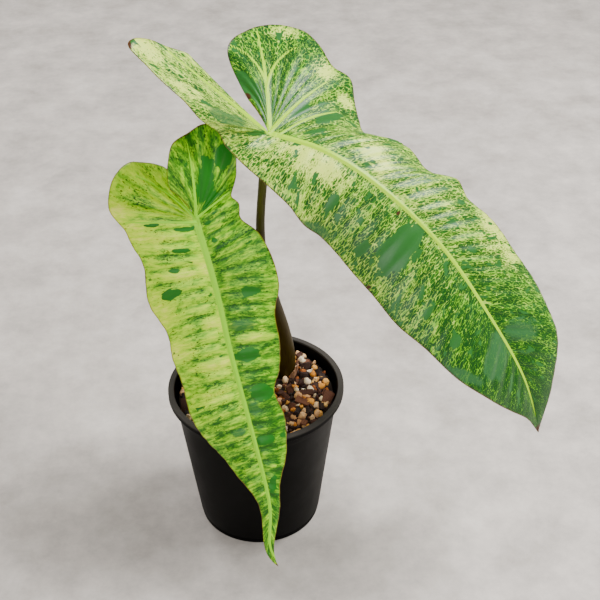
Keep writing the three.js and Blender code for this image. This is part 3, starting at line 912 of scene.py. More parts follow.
@dataclass
class Stalk:
    """A leaf stalk: a tapered tube with a shallow channel on its upper side."""

    name: str
    rows: tuple[Row, ...]  # x, y, z and the radius there, from the foot to the joint
    finish: StalkSkin
    channel_way: float = 90  # direction of the channel round the tube
    sides: int = 32
    steps: int = 14  # rings between two rows
    channel: float = 0.16  # depth of the channel, as a share of the radius

    def build(self) -> None:
        """Builds the stalk and dresses it."""
        count = (len(self.rows) - 1) * self.steps + 1
        spine = smooth_rows(self.rows, np.linspace(0, len(self.rows) - 1, count))
        path = spine[:, :3]
        along = unit(np.gradient(path, axis=0))
        along[0] = (0, 0, 1)
        front = unit(np.cross(along, (1.0, 0.0, 0.0)))
        right = unit(np.cross(front, along))
        angles, share = circle(self.sides), np.linspace(0, 1, count)
        # The channel is narrow, and sinks in between 0.35 and 0.7 of the way up.
        turned = np.cos((angles - math.radians(self.channel_way)) / 2) ** 2
        dip = 1 - self.channel * ease(0.35, 0.7, share)[:, None] * turned[None] ** 8
        radius = spine[:, 3:4] * dip
        rings = path[:, None] + right[:, None] * (radius * np.cos(angles))[..., None]
        rings = rings + front[:, None] * (radius * np.sin(angles))[..., None]
        made = skinned(self.name + "_skin", rings)
        length = np.concatenate([[0.0], np.cumsum(np.linalg.norm(np.diff(path, axis=0), axis=1))])
        # The way round the tube runs out and back, so that the streaks have no seam.
        round_way = np.abs((angles / np.pi + 1) % 2 - 1) * np.pi * 4
        around = np.stack(np.broadcast_arrays(round_way[None], length[:, None]), -1).reshape(-1, 2)
        store(made, "around", np.vstack([around, around[:1], around[-1:]]))
        store(made, "height", np.concatenate([np.repeat(share, self.sides), [0, 1]]))
        place(made, "stalk_skin", self.finish, self.name)


@dataclass(frozen=True)
class StumpSkin(Finish):
    """Corky skin of a short old stem: dull, ringed by the scars of earlier leaves."""

    name: str = "corky stem skin"
    low: str = "#4b3a22"
    high: str = "#7c6a3c"

    def paint(self, tree: NodeTree) -> None:
        """Adds the finish's nodes.

        Args:
            tree: the material's tree.
        """
        spot = add(tree, "ShaderNodeTexCoord", {}, out="Object")
        # Scars are rings about 4 mm apart, and the finest pores under 1 mm.
        ringed = add(tree, "ShaderNodeMapping", {"Vector": spot, "Scale": (60, 60, 250)})
        noise = add(tree, "ShaderNodeTexNoise", {"Vector": ringed, "Scale": 1.0, "Detail": 4.0})
        color = add(tree, "ShaderNodeValToRGB", {"Fac": noise}, ((0.35, self.low), (0.68, self.high)))
        self.join(tree, color, (noise, 0.6, 0.85), (noise, 0.6, 0.8))


@dataclass
class Stem:
    """The short oval stump that both stalks stand on."""

    centre: tuple[float, float] = (19.4, 25.2)
    turn: float = -27
    half_length: float = 12
    half_width: float = 8.2
    # Heights, and the share of its full section that the stump has there
    levels: tuple[Row, ...] = (
        (72, 0.62), (86, 0.94), (94, 0.98), (98, 1.0), (102, 1.0), (104.8, 0.97), (106, 0.9),
    )
    rings: int = 40
    sides: int = 64

    def build(self) -> None:
        """Builds the stem and dresses it."""
        heights, shares = smooth_rows(self.levels, np.linspace(0, len(self.levels) - 1, self.rings)).T
        angles = circle(self.sides)
        # Scars follow each other every 3 mm, and five low ridges run up the stump.
        scars = 1 + 0.02 * np.sin(heights * 2.1)[:, None] + 0.015 * np.sin(5 * angles)[None]
        shares = np.minimum(shares[:, None] * scars, 1.0)
        x, y = self.half_length * shares * np.cos(angles), self.half_width * shares * np.sin(angles)
        c, s = math.cos(math.radians(self.turn)), math.sin(math.radians(self.turn))
        tall = np.broadcast_to(heights[:, None], x.shape)
        rings = np.stack([self.centre[0] + c * x - s * y, self.centre[1] + s * x + c * y, tall], -1)
        place(skinned("stem_stump", rings), "stem_skin", StumpSkin(), "stem")


@dataclass(frozen=True)
class PaperSkin(Finish):
    """Dried sheath tissue: papery, pinkish brown, with fine fibres that run up it."""

    name: str = "dry papery sheath"
    low: str = "#6a4028"
    high: str = "#bc8c68"

    def paint(self, tree: NodeTree) -> None:
        """Adds the finish's nodes.

        Args:
            tree: the material's tree.
        """
        around = add(tree, "ShaderNodeUVMap", {}, uv_map="around")
        # Fibres are about 0.7 mm wide and 8 mm long.
        scaled = add(tree, "ShaderNodeMapping", {"Vector": around, "Scale": (1 / 0.7, 1 / 8, 1)})
        noise = add(tree, "ShaderNodeTexNoise", {"Vector": scaled, "Scale": 1.0, "Detail": 3.0})
        color = add(tree, "ShaderNodeValToRGB", {"Fac": noise}, ((0.3, self.low), (0.65, self.high)))
        self.join(tree, color, (noise, 0.65, 0.9), (noise, 0.5, 0.4))


@dataclass
class Sheath:
    """The papery remnant of an old sheath, curled round the right stalk's foot."""

    centre: tuple[float, float] = (23.6, 23.2)
    radius: float = 7.4
    thickness: float = 0.7
    flare: float = 1.2
    bottom: float = 106.3
    height: float = 13
    start: float = -75
    end: float = 62
    arc: float = 17  # its length round the stalk
    steps: int = 60
    levels: int = 16

    def build(self) -> None:
        """Builds the sheath and dresses it."""
        share = np.linspace(0, 1, self.steps + 1)[:, None]
        level = np.linspace(0, 1, self.levels + 1)[None]
        angle = np.radians(self.start + (self.end - self.start) * share)
        # The upper edge rises to a hump and is torn in small waves, and creases run up the sheath.
        hump = 0.35 + 0.65 * np.sin(np.pi * np.minimum(1, share * 1.25 + 0.05)) ** 0.8
        torn = 1 + 0.05 * np.sin(23 * share) + 0.04 * np.sin(51 * share + 1)
        tall = self.bottom + self.height * hump * torn * level
        crease = 0.35 * np.sin(34 * share + 3 * level) * level
        skins = []
        for outward in (0.0, 1.0):
            away = self.radius + outward * self.thickness + self.flare * level**2 + crease
            x, y = self.centre[0] + away * np.cos(angle), self.centre[1] + away * np.sin(angle)
            skins.append(np.stack(np.broadcast_arrays(x, y, tall), -1))
        made = skinned("sheath_paper", np.concatenate([skins[0], skins[1][:, ::-1]], axis=1))
        flat = np.stack(np.broadcast_arrays(share * self.arc, level * self.height), -1)
        around = np.concatenate([flat, flat[:, ::-1]], axis=1).reshape(-1, 2)
        store(made, "around", np.vstack([around, around[:1], around[-1:]]))
        place(made, "dry_sheath", PaperSkin(), "sheath")


# Pot


@dataclass(frozen=True)
class MouldedPlastic(Finish):
    """Black polypropylene, injection moulded: satin, with the fine grain of the mould and a little dust.

    It gives the eye a deep black with broad soft sheens. IOR of polypropylene is about 1.49.
    """

    name: str = "black moulded polypropylene"
    body: str = "#010101"
    dust: str = "#1c1a18"
    # colour of the sheen painted on the rim's upper edge
    rim: str = "#484440"
    roughness: float = 0.5

    def paint(self, tree: NodeTree) -> None:
        """Adds the finish's nodes.

        Args:
            tree: the material's tree.
        """
        spot = add(tree, "ShaderNodeTexCoord", {}, out="Object")
        # The mould's grain is about 0.3 mm: it is drawn at 0.8 mm, so that it shows.
        grain = add(tree, "ShaderNodeTexNoise", {"Vector": spot, "Scale": 1 / (0.8 * MM), "Detail": 2.0})
        # Smears of dust are about 25 mm across.
        inputs = {"Vector": spot, "Scale": 1 / (25 * MM), "Detail": 5.0, "Roughness": 0.65}
        smear = add(tree, "ShaderNodeTexNoise", inputs)
        inputs = {"Value": smear, "From Min": 0.5, "From Max": 0.85, "To Max": 0.25}
        dusty = add(tree, "ShaderNodeMapRange", inputs)
        # Painted sheen: the rim's upper edge is lightened to grey over its last 2 mm, for the light that it
        # catches.
        height = add(tree, "ShaderNodeSeparateXYZ", {0: spot}, out="Z")
        inputs = {"Value": height, "From Min": 116.5 * MM, "From Max": 118.4 * MM, "To Max": 0.9}
        painted_rim_sheen = add(tree, "ShaderNodeMapRange", inputs)
        color = linear(self.body)
        for mask, hue in ((dusty, self.dust), (painted_rim_sheen, self.rim)):
            color = add(tree, "ShaderNodeMix", {0: mask, 6: color, 7: linear(hue)}, out=2, data_type="RGBA")
        gloss = (smear, self.roughness - 0.08, self.roughness + 0.14)
        self.join(tree, color, gloss, (grain, 0.12, 0.2), {"IOR": 1.49, "Specular IOR Level": 0.06})


@dataclass
class NurseryPot:
    """The round pot: a turned shell with a hooked rim, drain holes and foot notches."""

    height: float = 118.5
    mouth_radius: float = 60.7
    collar_radius: float = 65
    collar_height: float = 4.7
    shoulder_radius: float = 59.3
    shoulder_height: float = 104.5
    base_radius: float = 46.8
    foot_radius: float = 46
    foot_height: float = 4.5
    wall: float = 1.3
    floor: float = 1.8
    edge: float = 0.6  # rounding of the rim and foot
    sides: int = 160
    drain_holes: int = 8
    drain_radius: float = 4.5
    drain_circle: float = 30
    foot_notches: int = 4
    notch_radius: float = 3.6
    notch_turn: float = -81
    notch_depth: float = 3
    crease: float = 35  # angle past which an edge shows sharp

    def inner_wall_at(self, height: float) -> float:
        """Returns the wall's inner radius at a height."""
        rise = (height - self.foot_height) / (self.shoulder_height - self.foot_height)
        return self.base_radius + rise * (self.shoulder_radius - self.base_radius) - self.wall

    def profile(self) -> list[tuple[float, float]]:
        """Gives the shell's outline, from the foot's middle round to the floor's.

        Returns:
            Radii and heights.
        """
        e, c, foot, shoulder = self.edge, self.collar_radius, self.foot_height, self.shoulder_height
        under_rim, collar_foot = self.height - self.wall, self.height - self.collar_height
        neck = self.mouth_radius + self.wall
        # The offsets under 2 mm ease the corners between foot, wall and collar.
        return [
            (0, 0),
            (self.foot_radius - e, 0),
            *self.arc(self.foot_radius - e, e, -90),
            (self.foot_radius, foot - 0.3),
            (self.base_radius - 0.2, foot + 0.2),
            (self.base_radius, foot + e),
            (self.shoulder_radius, shoulder),
            (self.shoulder_radius + 0.9, shoulder + 1.4),
            (neck, collar_foot),
            (neck, under_rim),
            (c - self.wall, under_rim),
            (c - self.wall, collar_foot),
            (c - e, collar_foot),
            *self.arc(c - e, collar_foot + e, -90),
            *self.arc(c - e, self.height - e, 0),
            *self.arc(self.mouth_radius + e, self.height - e, 90),
            (self.mouth_radius - 0.6, collar_foot),
            (self.inner_wall_at(shoulder), shoulder - 1),
            (self.inner_wall_at(foot), foot),
            (self.foot_radius - self.wall - 1.5, self.floor),
            (0, self.floor),
        ]

    def arc(self, radius: float, height: float, start: float) -> list[tuple[float, float]]:
        """Lists five points of a quarter round.

        Args:
            radius: the round's middle, from the pot's axis.
            height: the middle's height.
            start: where it starts.

        Returns:
            Radii and heights.
        """
        turns = [math.radians(start + 90 * k / 4) for k in range(5)]
        return [(radius + self.edge * math.cos(a), height + self.edge * math.sin(a)) for a in turns]

    def build(self) -> None:
        """Builds the pot and dresses it."""
        outline, angles = np.array(self.profile()), circle(self.sides)
        tall = np.broadcast_to(outline[:, 1:], (len(outline), self.sides))
        rings = np.stack([outline[:, :1] * np.cos(angles), outline[:, :1] * np.sin(angles), tall], -1)
        made = mesh_object("pot_shell", rings, ring_faces(len(outline), self.sides))
        weld(made)
        cutters = self.cutters()
        for cutter in cutters:
            cut = made.modifiers.new("cut", "BOOLEAN")
            cut.operation, cut.solver, cut.object = "DIFFERENCE", "EXACT", cutter
        baked(made)
        for cutter in cutters:
            bpy.data.objects.remove(cutter)
        made.data.set_sharp_from_angle(angle=math.radians(self.crease))
        place(made, "pot_plastic", MouldedPlastic(), "pot")

    def cutters(self) -> list[Object]:
        """Makes the cylinders that cut the drain holes and bite the foot's lower corner.

        Returns:
            The cylinders.
        """
        made = []
        for k in range(self.drain_holes):
            angle = 2 * math.pi * (k + 0.5) / self.drain_holes
            x, y = self.drain_circle * math.cos(angle), self.drain_circle * math.sin(angle)
            spot = Matrix.Translation(Vector((x, y, self.floor / 2)) * MM)
            made.append(self.cylinder(f"drain_{k}", self.drain_radius, 4 * self.floor, spot))
        for k in range(self.foot_notches):
            angle = math.radians(self.notch_turn) + 2 * math.pi * k / self.foot_notches
            turn = Matrix.Rotation(angle, 4, "Z")
            away = Matrix.Translation(Vector((self.foot_radius, 0, -0.45 * self.notch_radius)) * MM)
            lying = turn @ away @ Matrix.Rotation(math.pi / 2, 4, "Y")
            made.append(self.cylinder(f"notch_{k}", self.notch_radius, self.notch_depth, lying))
        return made

    @staticmethod
    def cylinder(name: str, radius: float, length: float, matrix: Matrix) -> Object:
        """Makes a cutting cylinder.

        Args:
            name: its name.
            radius: its radius.
            length: its length.
            matrix: its place, in metres.

        Returns:
            The object.
        """
        angles = circle(40)
        ring = np.stack([radius * np.cos(angles), radius * np.sin(angles), np.zeros(40)], -1)
        made = skinned(name, np.stack([ring - (0, 0, length / 2), ring + (0, 0, length / 2)]))
        made.data.transform(matrix)
        return made


# Potting mix


@dataclass(frozen=True)
class BarkSkin(Finish):
    """Composted pine bark: rough and matt, split along its layers, each chunk its own brown."""

    tones: tuple[str, ...]
    layer: float = 1.2  # thickness of a bark layer

    def paint(self, tree: NodeTree) -> None:
        """Adds the finish's nodes.

        Args:
            tree: the material's tree.
        """
        tone = add(tree, "ShaderNodeAttribute", {}, out="Fac", attribute_name="tone")
        spot = add(tree, "ShaderNodeTexCoord", {}, out="Object")
        inputs = {"Vector": spot, "Scale": 1 / (self.layer * MM), "Detail": 4.0, "Roughness": 0.7}
        noise = add(tree, "ShaderNodeTexNoise", inputs)
        mixed = add(tree, "ShaderNodeMath", {0: noise, 1: 0.5, 2: tone}, operation="MULTIPLY_ADD")
        shifted = add(tree, "ShaderNodeMath", {0: mixed, 1: 0.25}, operation="SUBTRACT")
        ramp = tuple((i / (len(self.tones) - 1), hue) for i, hue in enumerate(self.tones))
        color = add(tree, "ShaderNodeValToRGB", {"Fac": shifted}, ramp)
        self.join(tree, color, (noise, 0.7, 0.98), (noise, 0.8, 0.6))


class GrainShape(Enum):
    """The plain body that a grain starts from."""

    CHUNK = "chunk"
    PEBBLE = "pebble"


@dataclass
class Grains:
    """Loose grains of one kind, strewn over the mix by Geometry Nodes."""

    name: str
    shape: GrainShape
    smallest: float
    largest: float
    spacing: float
    per_square_cm: float
    lump: float  # how far the noise moves a grain's skin
    sink: float  # how far a grain's middle lies over the bed
    seed: int
    finish: BarkSkin

    def build(self, bed: Object) -> None:
        """Strews the grains over the bed and dresses them.

        Args:
            bed: a mesh that they are strewn on.
        """
        made = bpy.data.objects.new(self.name, bed.data.copy())
        bpy.context.scene.collection.objects.link(made)
        tree = self.tree()
        work = made.modifiers.new("strewn", "NODES")
        work.node_group = tree
        values = {
            "Smallest": self.smallest * MM,
            "Largest": self.largest * MM,
            "Spacing": self.spacing * MM,
            "Density": self.per_square_cm * 1e4,
            "Lump": self.lump * MM,
            "Sink": self.sink * MM,
            "Seed": self.seed,
            "Finish": self.finish.build(),
        }
        for item in tree.interface.items_tree:
            if item.name in values and item.in_out == "INPUT":
                work[item.identifier] = values[item.name]
        baked(made)
        place(made, "potting_mix", None)

    def tree(self) -> NodeTree:
        """Makes the node tree that strews, sizes and lumps the grains.

        Returns:
            The node tree.
        """
        tree = bpy.data.node_groups.new(self.name, "GeometryNodeTree")
        kinds = dict.fromkeys(("Smallest", "Largest", "Spacing", "Density", "Lump", "Sink"), "Float")
        for name, kind in {"Geometry": "Geometry", **kinds, "Seed": "Int", "Finish": "Material"}.items():
            tree.interface.new_socket(name, in_out="INPUT", socket_type="NodeSocket" + kind)
        tree.interface.new_socket("Geometry", in_out="OUTPUT", socket_type="NodeSocketGeometry")
        given = tree.nodes.new("NodeGroupInput").outputs
        seed = given["Seed"]
        inputs = {
            "Mesh": given["Geometry"],
            "Distance Min": given["Spacing"],
            "Density Max": given["Density"],
            "Seed": seed,
        }
        strewn = add(tree, "GeometryNodeDistributePointsOnFaces", inputs, distribute_method="POISSON")
        # Both bodies are 2 long, so that a grain's size is half its length.
        if self.shape is GrainShape.CHUNK:
            inputs = {"Vertices X": 3, "Vertices Y": 3, "Vertices Z": 3, "Size": (2.0, 1.45, 1.0)}
            body = add(tree, "GeometryNodeMeshCube", inputs)
        else:
            body = add(tree, "GeometryNodeMeshIcoSphere", {"Radius": 1.0, "Subdivisions": 2})
        inputs = {"Min": (0, 0, 0), "Max": (6.28, 6.28, 6.28), "Seed": seed}
        turn = add(tree, "FunctionNodeRandomValue", inputs, data_type="FLOAT_VECTOR")
        inputs = {2: given["Smallest"], 3: given["Largest"], "Seed": seed}
        size = add(tree, "FunctionNodeRandomValue", inputs, out=1)
        inputs = {"Min": (0.75, 0.7, 0.6), "Max": (1.3, 1.0, 1.0), "Seed": 5}
        squash = add(tree, "FunctionNodeRandomValue", inputs, data_type="FLOAT_VECTOR")
        scale = add(tree, "ShaderNodeVectorMath", {0: squash, "Scale": size}, operation="SCALE")
        raised = add(tree, "ShaderNodeCombineXYZ", {"Z": given["Sink"]})
        points = add(tree, "GeometryNodeSetPosition", {"Geometry": strewn, "Offset": raised})
        inputs = {"Points": points, "Instance": body, "Rotation": turn, "Scale": scale}
        copies = add(tree, "GeometryNodeInstanceOnPoints", inputs)
        tone = add(tree, "FunctionNodeRandomValue", {"Seed": 9}, out=1)
        inputs = {"Geometry": copies, "Name": "tone", "Value": tone}
        toned = add(tree, "GeometryNodeStoreNamedAttribute", inputs, domain="INSTANCE")
        real = add(tree, "GeometryNodeRealizeInstances", {"Geometry": toned})
        spot = add(tree, "GeometryNodeInputPosition", {})
        # Lumps are about 2.4 mm across.
        inputs = {"Vector": spot, "Scale": 1 / (2.4 * MM), "Detail": 2.0}
        noise = add(tree, "ShaderNodeTexNoise", inputs, out=1)
        middle = add(tree, "ShaderNodeVectorMath", {0: noise, 1: (0.5, 0.5, 0.5)}, operation="SUBTRACT")
        moved = add(tree, "ShaderNodeVectorMath", {0: middle, "Scale": given["Lump"]}, operation="SCALE")
        lumped = add(tree, "GeometryNodeSetPosition", {"Geometry": real, "Offset": moved})
        inputs = {"Geometry": lumped, "Shade Smooth": self.shape is GrainShape.PEBBLE}
        shaded = add(tree, "GeometryNodeSetShadeSmooth", inputs)
        done = add(tree, "GeometryNodeSetMaterial", {"Geometry": shaded, "Material": given["Finish"]})
        tree.links.new(done, tree.nodes.new("NodeGroupOutput").inputs[0])
        return tree


@dataclass
class PottingMix:
    """The filling: a rough bed, and the grains on it."""

    grains: tuple[Grains, ...]
    level: float = 109.0
    crust: float = 0.6  # how far the bed lies under the level
    roughness: float = 1.1
    slope: float = 0.035  # rise towards the back
    bottom: float = 2.1
    wall_gap: float = 0.4
    rings: int = 44
    sides: int = 120
    stem_centre: tuple[float, float] = (19.4, 25.2)
    stem_clear: float = 9.5
    grain_clear: float = 1.6  # how far grains stay off the wall
    step: float = 1.5  # of the sheet that grains are strewn on

    def top_at(self, x: Array, y: Array) -> Array:
        """Gives points of the bed's rough top.

        Args:
            x: where they are across.
            y: where they are towards the back.

        Returns:
            Array of x, y and z.
        """
        # Waves from about 20 mm down to 4 mm long
        broad = 0.5 * np.sin(0.31 * x + 1.1) * np.cos(0.27 * y) + 0.35 * np.sin(0.62 * y - 0.4 * x)
        fine = 0.3 * np.sin(1.7 * x + 0.4 * y) * np.sin(1.3 * y - 0.8 * x)
        rough = self.roughness * (broad + fine) + self.slope * y
        return np.stack([x, y, self.level - self.crust + rough], -1)

    def build(self, pot: NurseryPot) -> None:
        """Builds the bed and its grains, and dresses them.

        Args:
            pot: the pot that holds the mix.
        """
        reach = pot.inner_wall_at(pot.shoulder_height) - self.wall_gap
        angles = circle(self.sides)
        x, y = np.cos(angles), np.sin(angles)
        low = pot.foot_height + self.wall_gap
        outline = (
            (pot.foot_radius - pot.wall - 2.5, self.bottom),
            (pot.inner_wall_at(low) - 2 * self.wall_gap, low),
            (reach, self.level - 2),
        )
        rings = [np.stack([r * x, r * y, np.full(self.sides, height)], -1) for r, height in outline]
        for k in range(self.rings, 0, -1):
            r = (reach - 0.2) * k / self.rings
            rings.append(self.top_at(r * x, r * y))
        bed = skinned("mix_bed", np.array(rings))
        store(bed, "tone", np.full(len(bed.data.vertices), 0.35))
        place(bed, "potting_mix", BarkSkin("fine bark crumb", ("#0f0805", "#2b1a10", "#3d2718")), "soil")
        sheet = self.strewing_sheet(reach)
        for grains in self.grains:
            grains.build(sheet)
        bpy.data.objects.remove(sheet)

    def strewing_sheet(self, reach: float) -> Object:
        """Makes the open sheet that grains are strewn on, clear of the wall and the stem.

        Args:
            reach: the bed's radius.

        Returns:
            The sheet.
        """
        line = np.arange(-reach, reach + self.step, self.step)
        n = len(line)
        x, y = np.meshgrid(line, line, indexing="ij")
        inside = np.hypot(x, y) < reach - self.grain_clear
        kept = inside & (np.hypot(x - self.stem_centre[0], y - self.stem_centre[1]) > self.stem_clear)
        kept = kept[:-1, :-1] & kept[1:, :-1] & kept[1:, 1:] & kept[:-1, 1:]
        starts = [i * n + k for i, k in zip(*np.nonzero(kept))]
        faces = [(int(a), int(a + n), int(a + n + 1), int(a + 1)) for a in starts]
        return mesh_object("strewing_sheet", self.top_at(x, y), faces)


# Studio


@dataclass(frozen=True)
class FloorFinish(Finish):
    """Painted studio board: matt, pale and a little warm, with the faintest mottling."""

    name: str = "matt studio board"
    low: str = "#b4aca4"
    high: str = "#e6ddd4"

    def paint(self, tree: NodeTree) -> None:
        """Adds the finish's nodes.

        Args:
            tree: the material's tree.
        """
        spot = add(tree, "ShaderNodeTexCoord", {}, out="Object")
        # The mottling runs from about 60 mm across down to 2 mm.
        inputs = {"Vector": spot, "Scale": 1 / (60 * MM), "Detail": 6.0, "Roughness": 0.72}
        noise = add(tree, "ShaderNodeTexNoise", inputs)
        color = add(tree, "ShaderNodeValToRGB", {"Fac": noise}, ((0.3, self.low), (0.7, self.high)))
        shader = tree.nodes["Principled BSDF"]
        tree.links.new(color, shader.inputs["Base Color"])
        shader.inputs["Roughness"].default_value = 0.9


@dataclass
class Lamp:
    """A soft square lamp: where it hangs and what it looks at, its width and its power."""

    name: str
    spot: Row
    target: Row
    width: float
    power: float

    def build(self) -> None:
        """Hangs the lamp."""
        light = bpy.data.lights.new(self.name, "AREA")
        light.shape, light.size, light.energy = "SQUARE", self.width, self.power
        made = bpy.data.objects.new(self.name, light)
        made.location = self.spot
        made.rotation_euler = (Vector(self.target) - Vector(self.spot)).to_track_quat("-Z", "Y").to_euler()
        bpy.context.scene.collection.objects.link(made)


@dataclass
class Studio:
    """The floor, the lamps and the camera."""

    floor_half: float = 3.0
    air: str = "#efece8"
    air_strength: float = 0.36
    camera_distance: float = 0.9701
    camera_elevation: float = 44.08
    focal_px: float = 1200  # focal length over a frame 600 px wide
    frame_px: float = 600
    sensor: float = 36.0  # mm
    aim_px: tuple[float, float] = (-47.87, 198.17)  # where the origin lies from the frame's middle
    roll: float = -2.59
    lamps: tuple[Lamp, ...] = (
        Lamp("key_upper_right", (1.0, 0.1, 1.45), (0.05, 0.0, 0.15), 0.75, 46),
        Lamp("front_fill", (-0.3, -1.8, 1.1), (0.0, 0.0, 0.15), 1.3, 24),
        Lamp("back_left", (-0.8, 1.3, 1.3), (-0.1, 0.0, 0.1), 0.8, 13),
    )

    def build(self) -> None:
        """Builds the floor, the lamps and the camera."""
        corners = np.array([(-1, -1, 0), (1, -1, 0), (1, 1, 0), (-1, 1, 0)], float)
        floor = mesh_object("studio_floor", corners * self.floor_half / MM, [(0, 1, 2, 3)])
        floor.data.materials.append(FloorFinish().build())
        world = bpy.data.worlds.new("studio_air")
        bpy.context.scene.world = world
        world.use_nodes = True
        background = world.node_tree.nodes["Background"].inputs
        background["Color"].default_value = linear(self.air)
        background["Strength"].default_value = self.air_strength
        for lamp in self.lamps:
            lamp.build()
        self.add_camera()

    def add_camera(self) -> None:
        """Sets the camera up at the photograph's viewing angle."""
        lift = math.radians(self.camera_elevation)
        spot = Vector((0, -math.cos(lift), math.sin(lift))) * self.camera_distance
        forward, right = -spot.normalized(), Vector((1, 0, 0))
        up = right.cross(forward)
        yaw = Matrix.Rotation(math.atan2(self.aim_px[0], self.focal_px), 3, up)
        forward, right = yaw @ forward, yaw @ right
        pitch = Matrix.Rotation(math.atan2(self.aim_px[1], self.focal_px), 3, right)
        forward, up = pitch @ forward, pitch @ up
        c, s = math.cos(math.radians(self.roll)), math.sin(math.radians(self.roll))
        right, up = right * c + up * s, up * c - right * s
        camera = bpy.data.objects.new("camera", bpy.data.cameras.new("camera"))
        camera.data.sensor_width = self.sensor
        camera.data.lens = self.focal_px / self.frame_px * self.sensor
        camera.matrix_world = Matrix((right, up, -forward)).transposed().to_4x4()
        camera.location = spot
        bpy.context.scene.collection.objects.link(camera)
        bpy.context.scene.camera = camera


# The whole plant

LIME_SKIN = LeafSkin(
    name="lime leaf skin",
    pattern=Pattern.FLECKED,
    ground=(
        (0.2, "#1c6600"), (0.34, "#4a9400"), (0.46, "#80c400"), (0.58, "#b0e404"), (0.76, "#d0f41c"),
        (1.0, "#f0fc60"),
    ),
    fleck="#175400",
    solid="#147008",
    blue="#2a6c2c",
    pale="#f3f7b8",
    rib="#9ae400",
    margin="#7c4416",
    under="#b4cc60",
    roughness=0.44,
    coat=0.0,
    pulls=(-0.5, 0.1, -0.08),
    level=0.35,
    blotches=0.74,
)
DARK_SKIN = LeafSkin(
    name="dark leaf skin",
    pattern=Pattern.NETTED,
    ground=((0.3, "#0a460c"), (0.5, "#185e12"), (0.7, "#3c8410")),
    fleck="#74bc0c",
    solid="#2a6a28",
    blue="#346838",
    pale="#dcf264",
    rib="#b2e200",
    margin="#6c3c1c",
    under="#80ac4c",
    roughness=0.36,
    coat=0.08,
    pulls=(1.0, -0.08, 0.24),
    level=1.12,
    blotches=0.6,
)
LEFT_STALK = Stalk(
    name="stalk_left",
    rows=(
        (12.4, 28.6, 106.2, 5), (10.4, 30, 128, 4.7), (4.5, 30.6, 160, 4.2), (-6, 27, 195, 3.7),
        (-18, 19, 228, 3.2), (-29, 6.5, 256, 3), (-34, -5.5, 271.5, 3), (-35, -16.2, 275.6, 2.9),
    ),
    finish=StalkSkin("olive stalk skin, left", "#3a2e00", "#546000"),
)
RIGHT_STALK = Stalk(
    name="stalk_right",
    rows=(
        (23.6, 23.2, 106.2, 6.6), (23.9, 21.2, 130, 6.2), (21, 18, 155, 5.2), (12.8, 12.5, 194, 4.2),
        (8, 9.8, 224, 3.5), (7.2, 9.2, 250, 3.1), (9.6, 10.4, 280, 3), (12.2, 11.6, 303, 3.3),
        (14.8, 11.2, 316.2, 3.2),
    ),
    finish=StalkSkin("olive stalk skin, right", "#3a2e00", "#4c5600"),
)
LEFT_BLADE = Blade(
    name="leaf_left",
    shape=LEFT_LEAF,
    slot="lime_blade",
    finish=LIME_SKIN,
    ribs=(
        Rib(Side.RIGHT, 3.3, 0.8, 1.4, start_row=1.3),
        Rib(Side.RIGHT, 5.7, 0.9, 1.0),
        Rib(Side.LEFT, 2.75, 0.9, 1.4, start_row=1.8),
        Rib(Side.LEFT, 6.7, 0.9, 0.9),
    ),
    areas={
        (Mark.SOLID, Side.LEFT): (
            (3.85, 0.44, 17, 6), (4.8, 0.78, 8, 6), (5.3, 0.28, 9, 2.6), (8.2, 0.24, 2.6, 1.3),
            (9.2, 0.26, 2.8, 2.3), (11.25, 0.57, 6.5, 2.8), (13.3, 0.32, 8, 5), (14.9, 0.54, 8.5, 6),
            (16.5, 0.3, 6, 3.8), (18, 0.5, 2.4, 5.5),
        ),
        (Mark.BLUE, Side.LEFT): (
            (12.3, 0.34, 10, 4), (15.4, 0.24, 4.5, 5.5),
        ),
        (Mark.BLUE, Side.RIGHT): (
            (14.05, 0.25, 6, 3),
        ),
        (Mark.SOLID, Side.RIGHT): (
            (8.9, 0.61, 8, 3), (5.9, 0.58, 6, 1.3), (6.25, 0.21, 6, 1.4), (7.4, 0.34, 7, 1.8),
            (8.2, 0.54, 4.5, 1.3),
        ),
        (Mark.PALE, Side.RIGHT): (
            (6.8, 0.67, 18, 6), (8.4, 0.36, 16, 4), (8.2, 0.1, 8, 5), (6.2, 0.87, 12, 7),
            (10.7, 0.86, 11, 8), (9.3, 0.9, 10, 12), (10.1, 0.1, 9, 5), (11.5, 0.3, 16, 5),
            (12.6, 0.5, 14, 5), (5.2, 0.93, 10, 9),
        ),
        (Mark.PALE, Side.LEFT): (
            (12.7, 0.52, 12, 4),
        ),
        (Mark.DRY, Side.RIGHT): (
            (19, 1, 3, 3),
        ),
        (Mark.DRY, Side.LEFT): (
            (21, 1, 3, 3),
        ),
    },
    tones={
        Side.RIGHT: (
            (0, 0.4), (4, 0.35), (5.5, 0.25), (11, 0.25), (13, 0.0), (14.5, -0.25), (19, -0.25),
        ),
        Side.LEFT: (
            (0, -0.25), (6, -0.3), (8, -0.15), (13, -0.25), (15, -0.5), (21, -0.35),
        ),
    },
    cream=0.85,
)
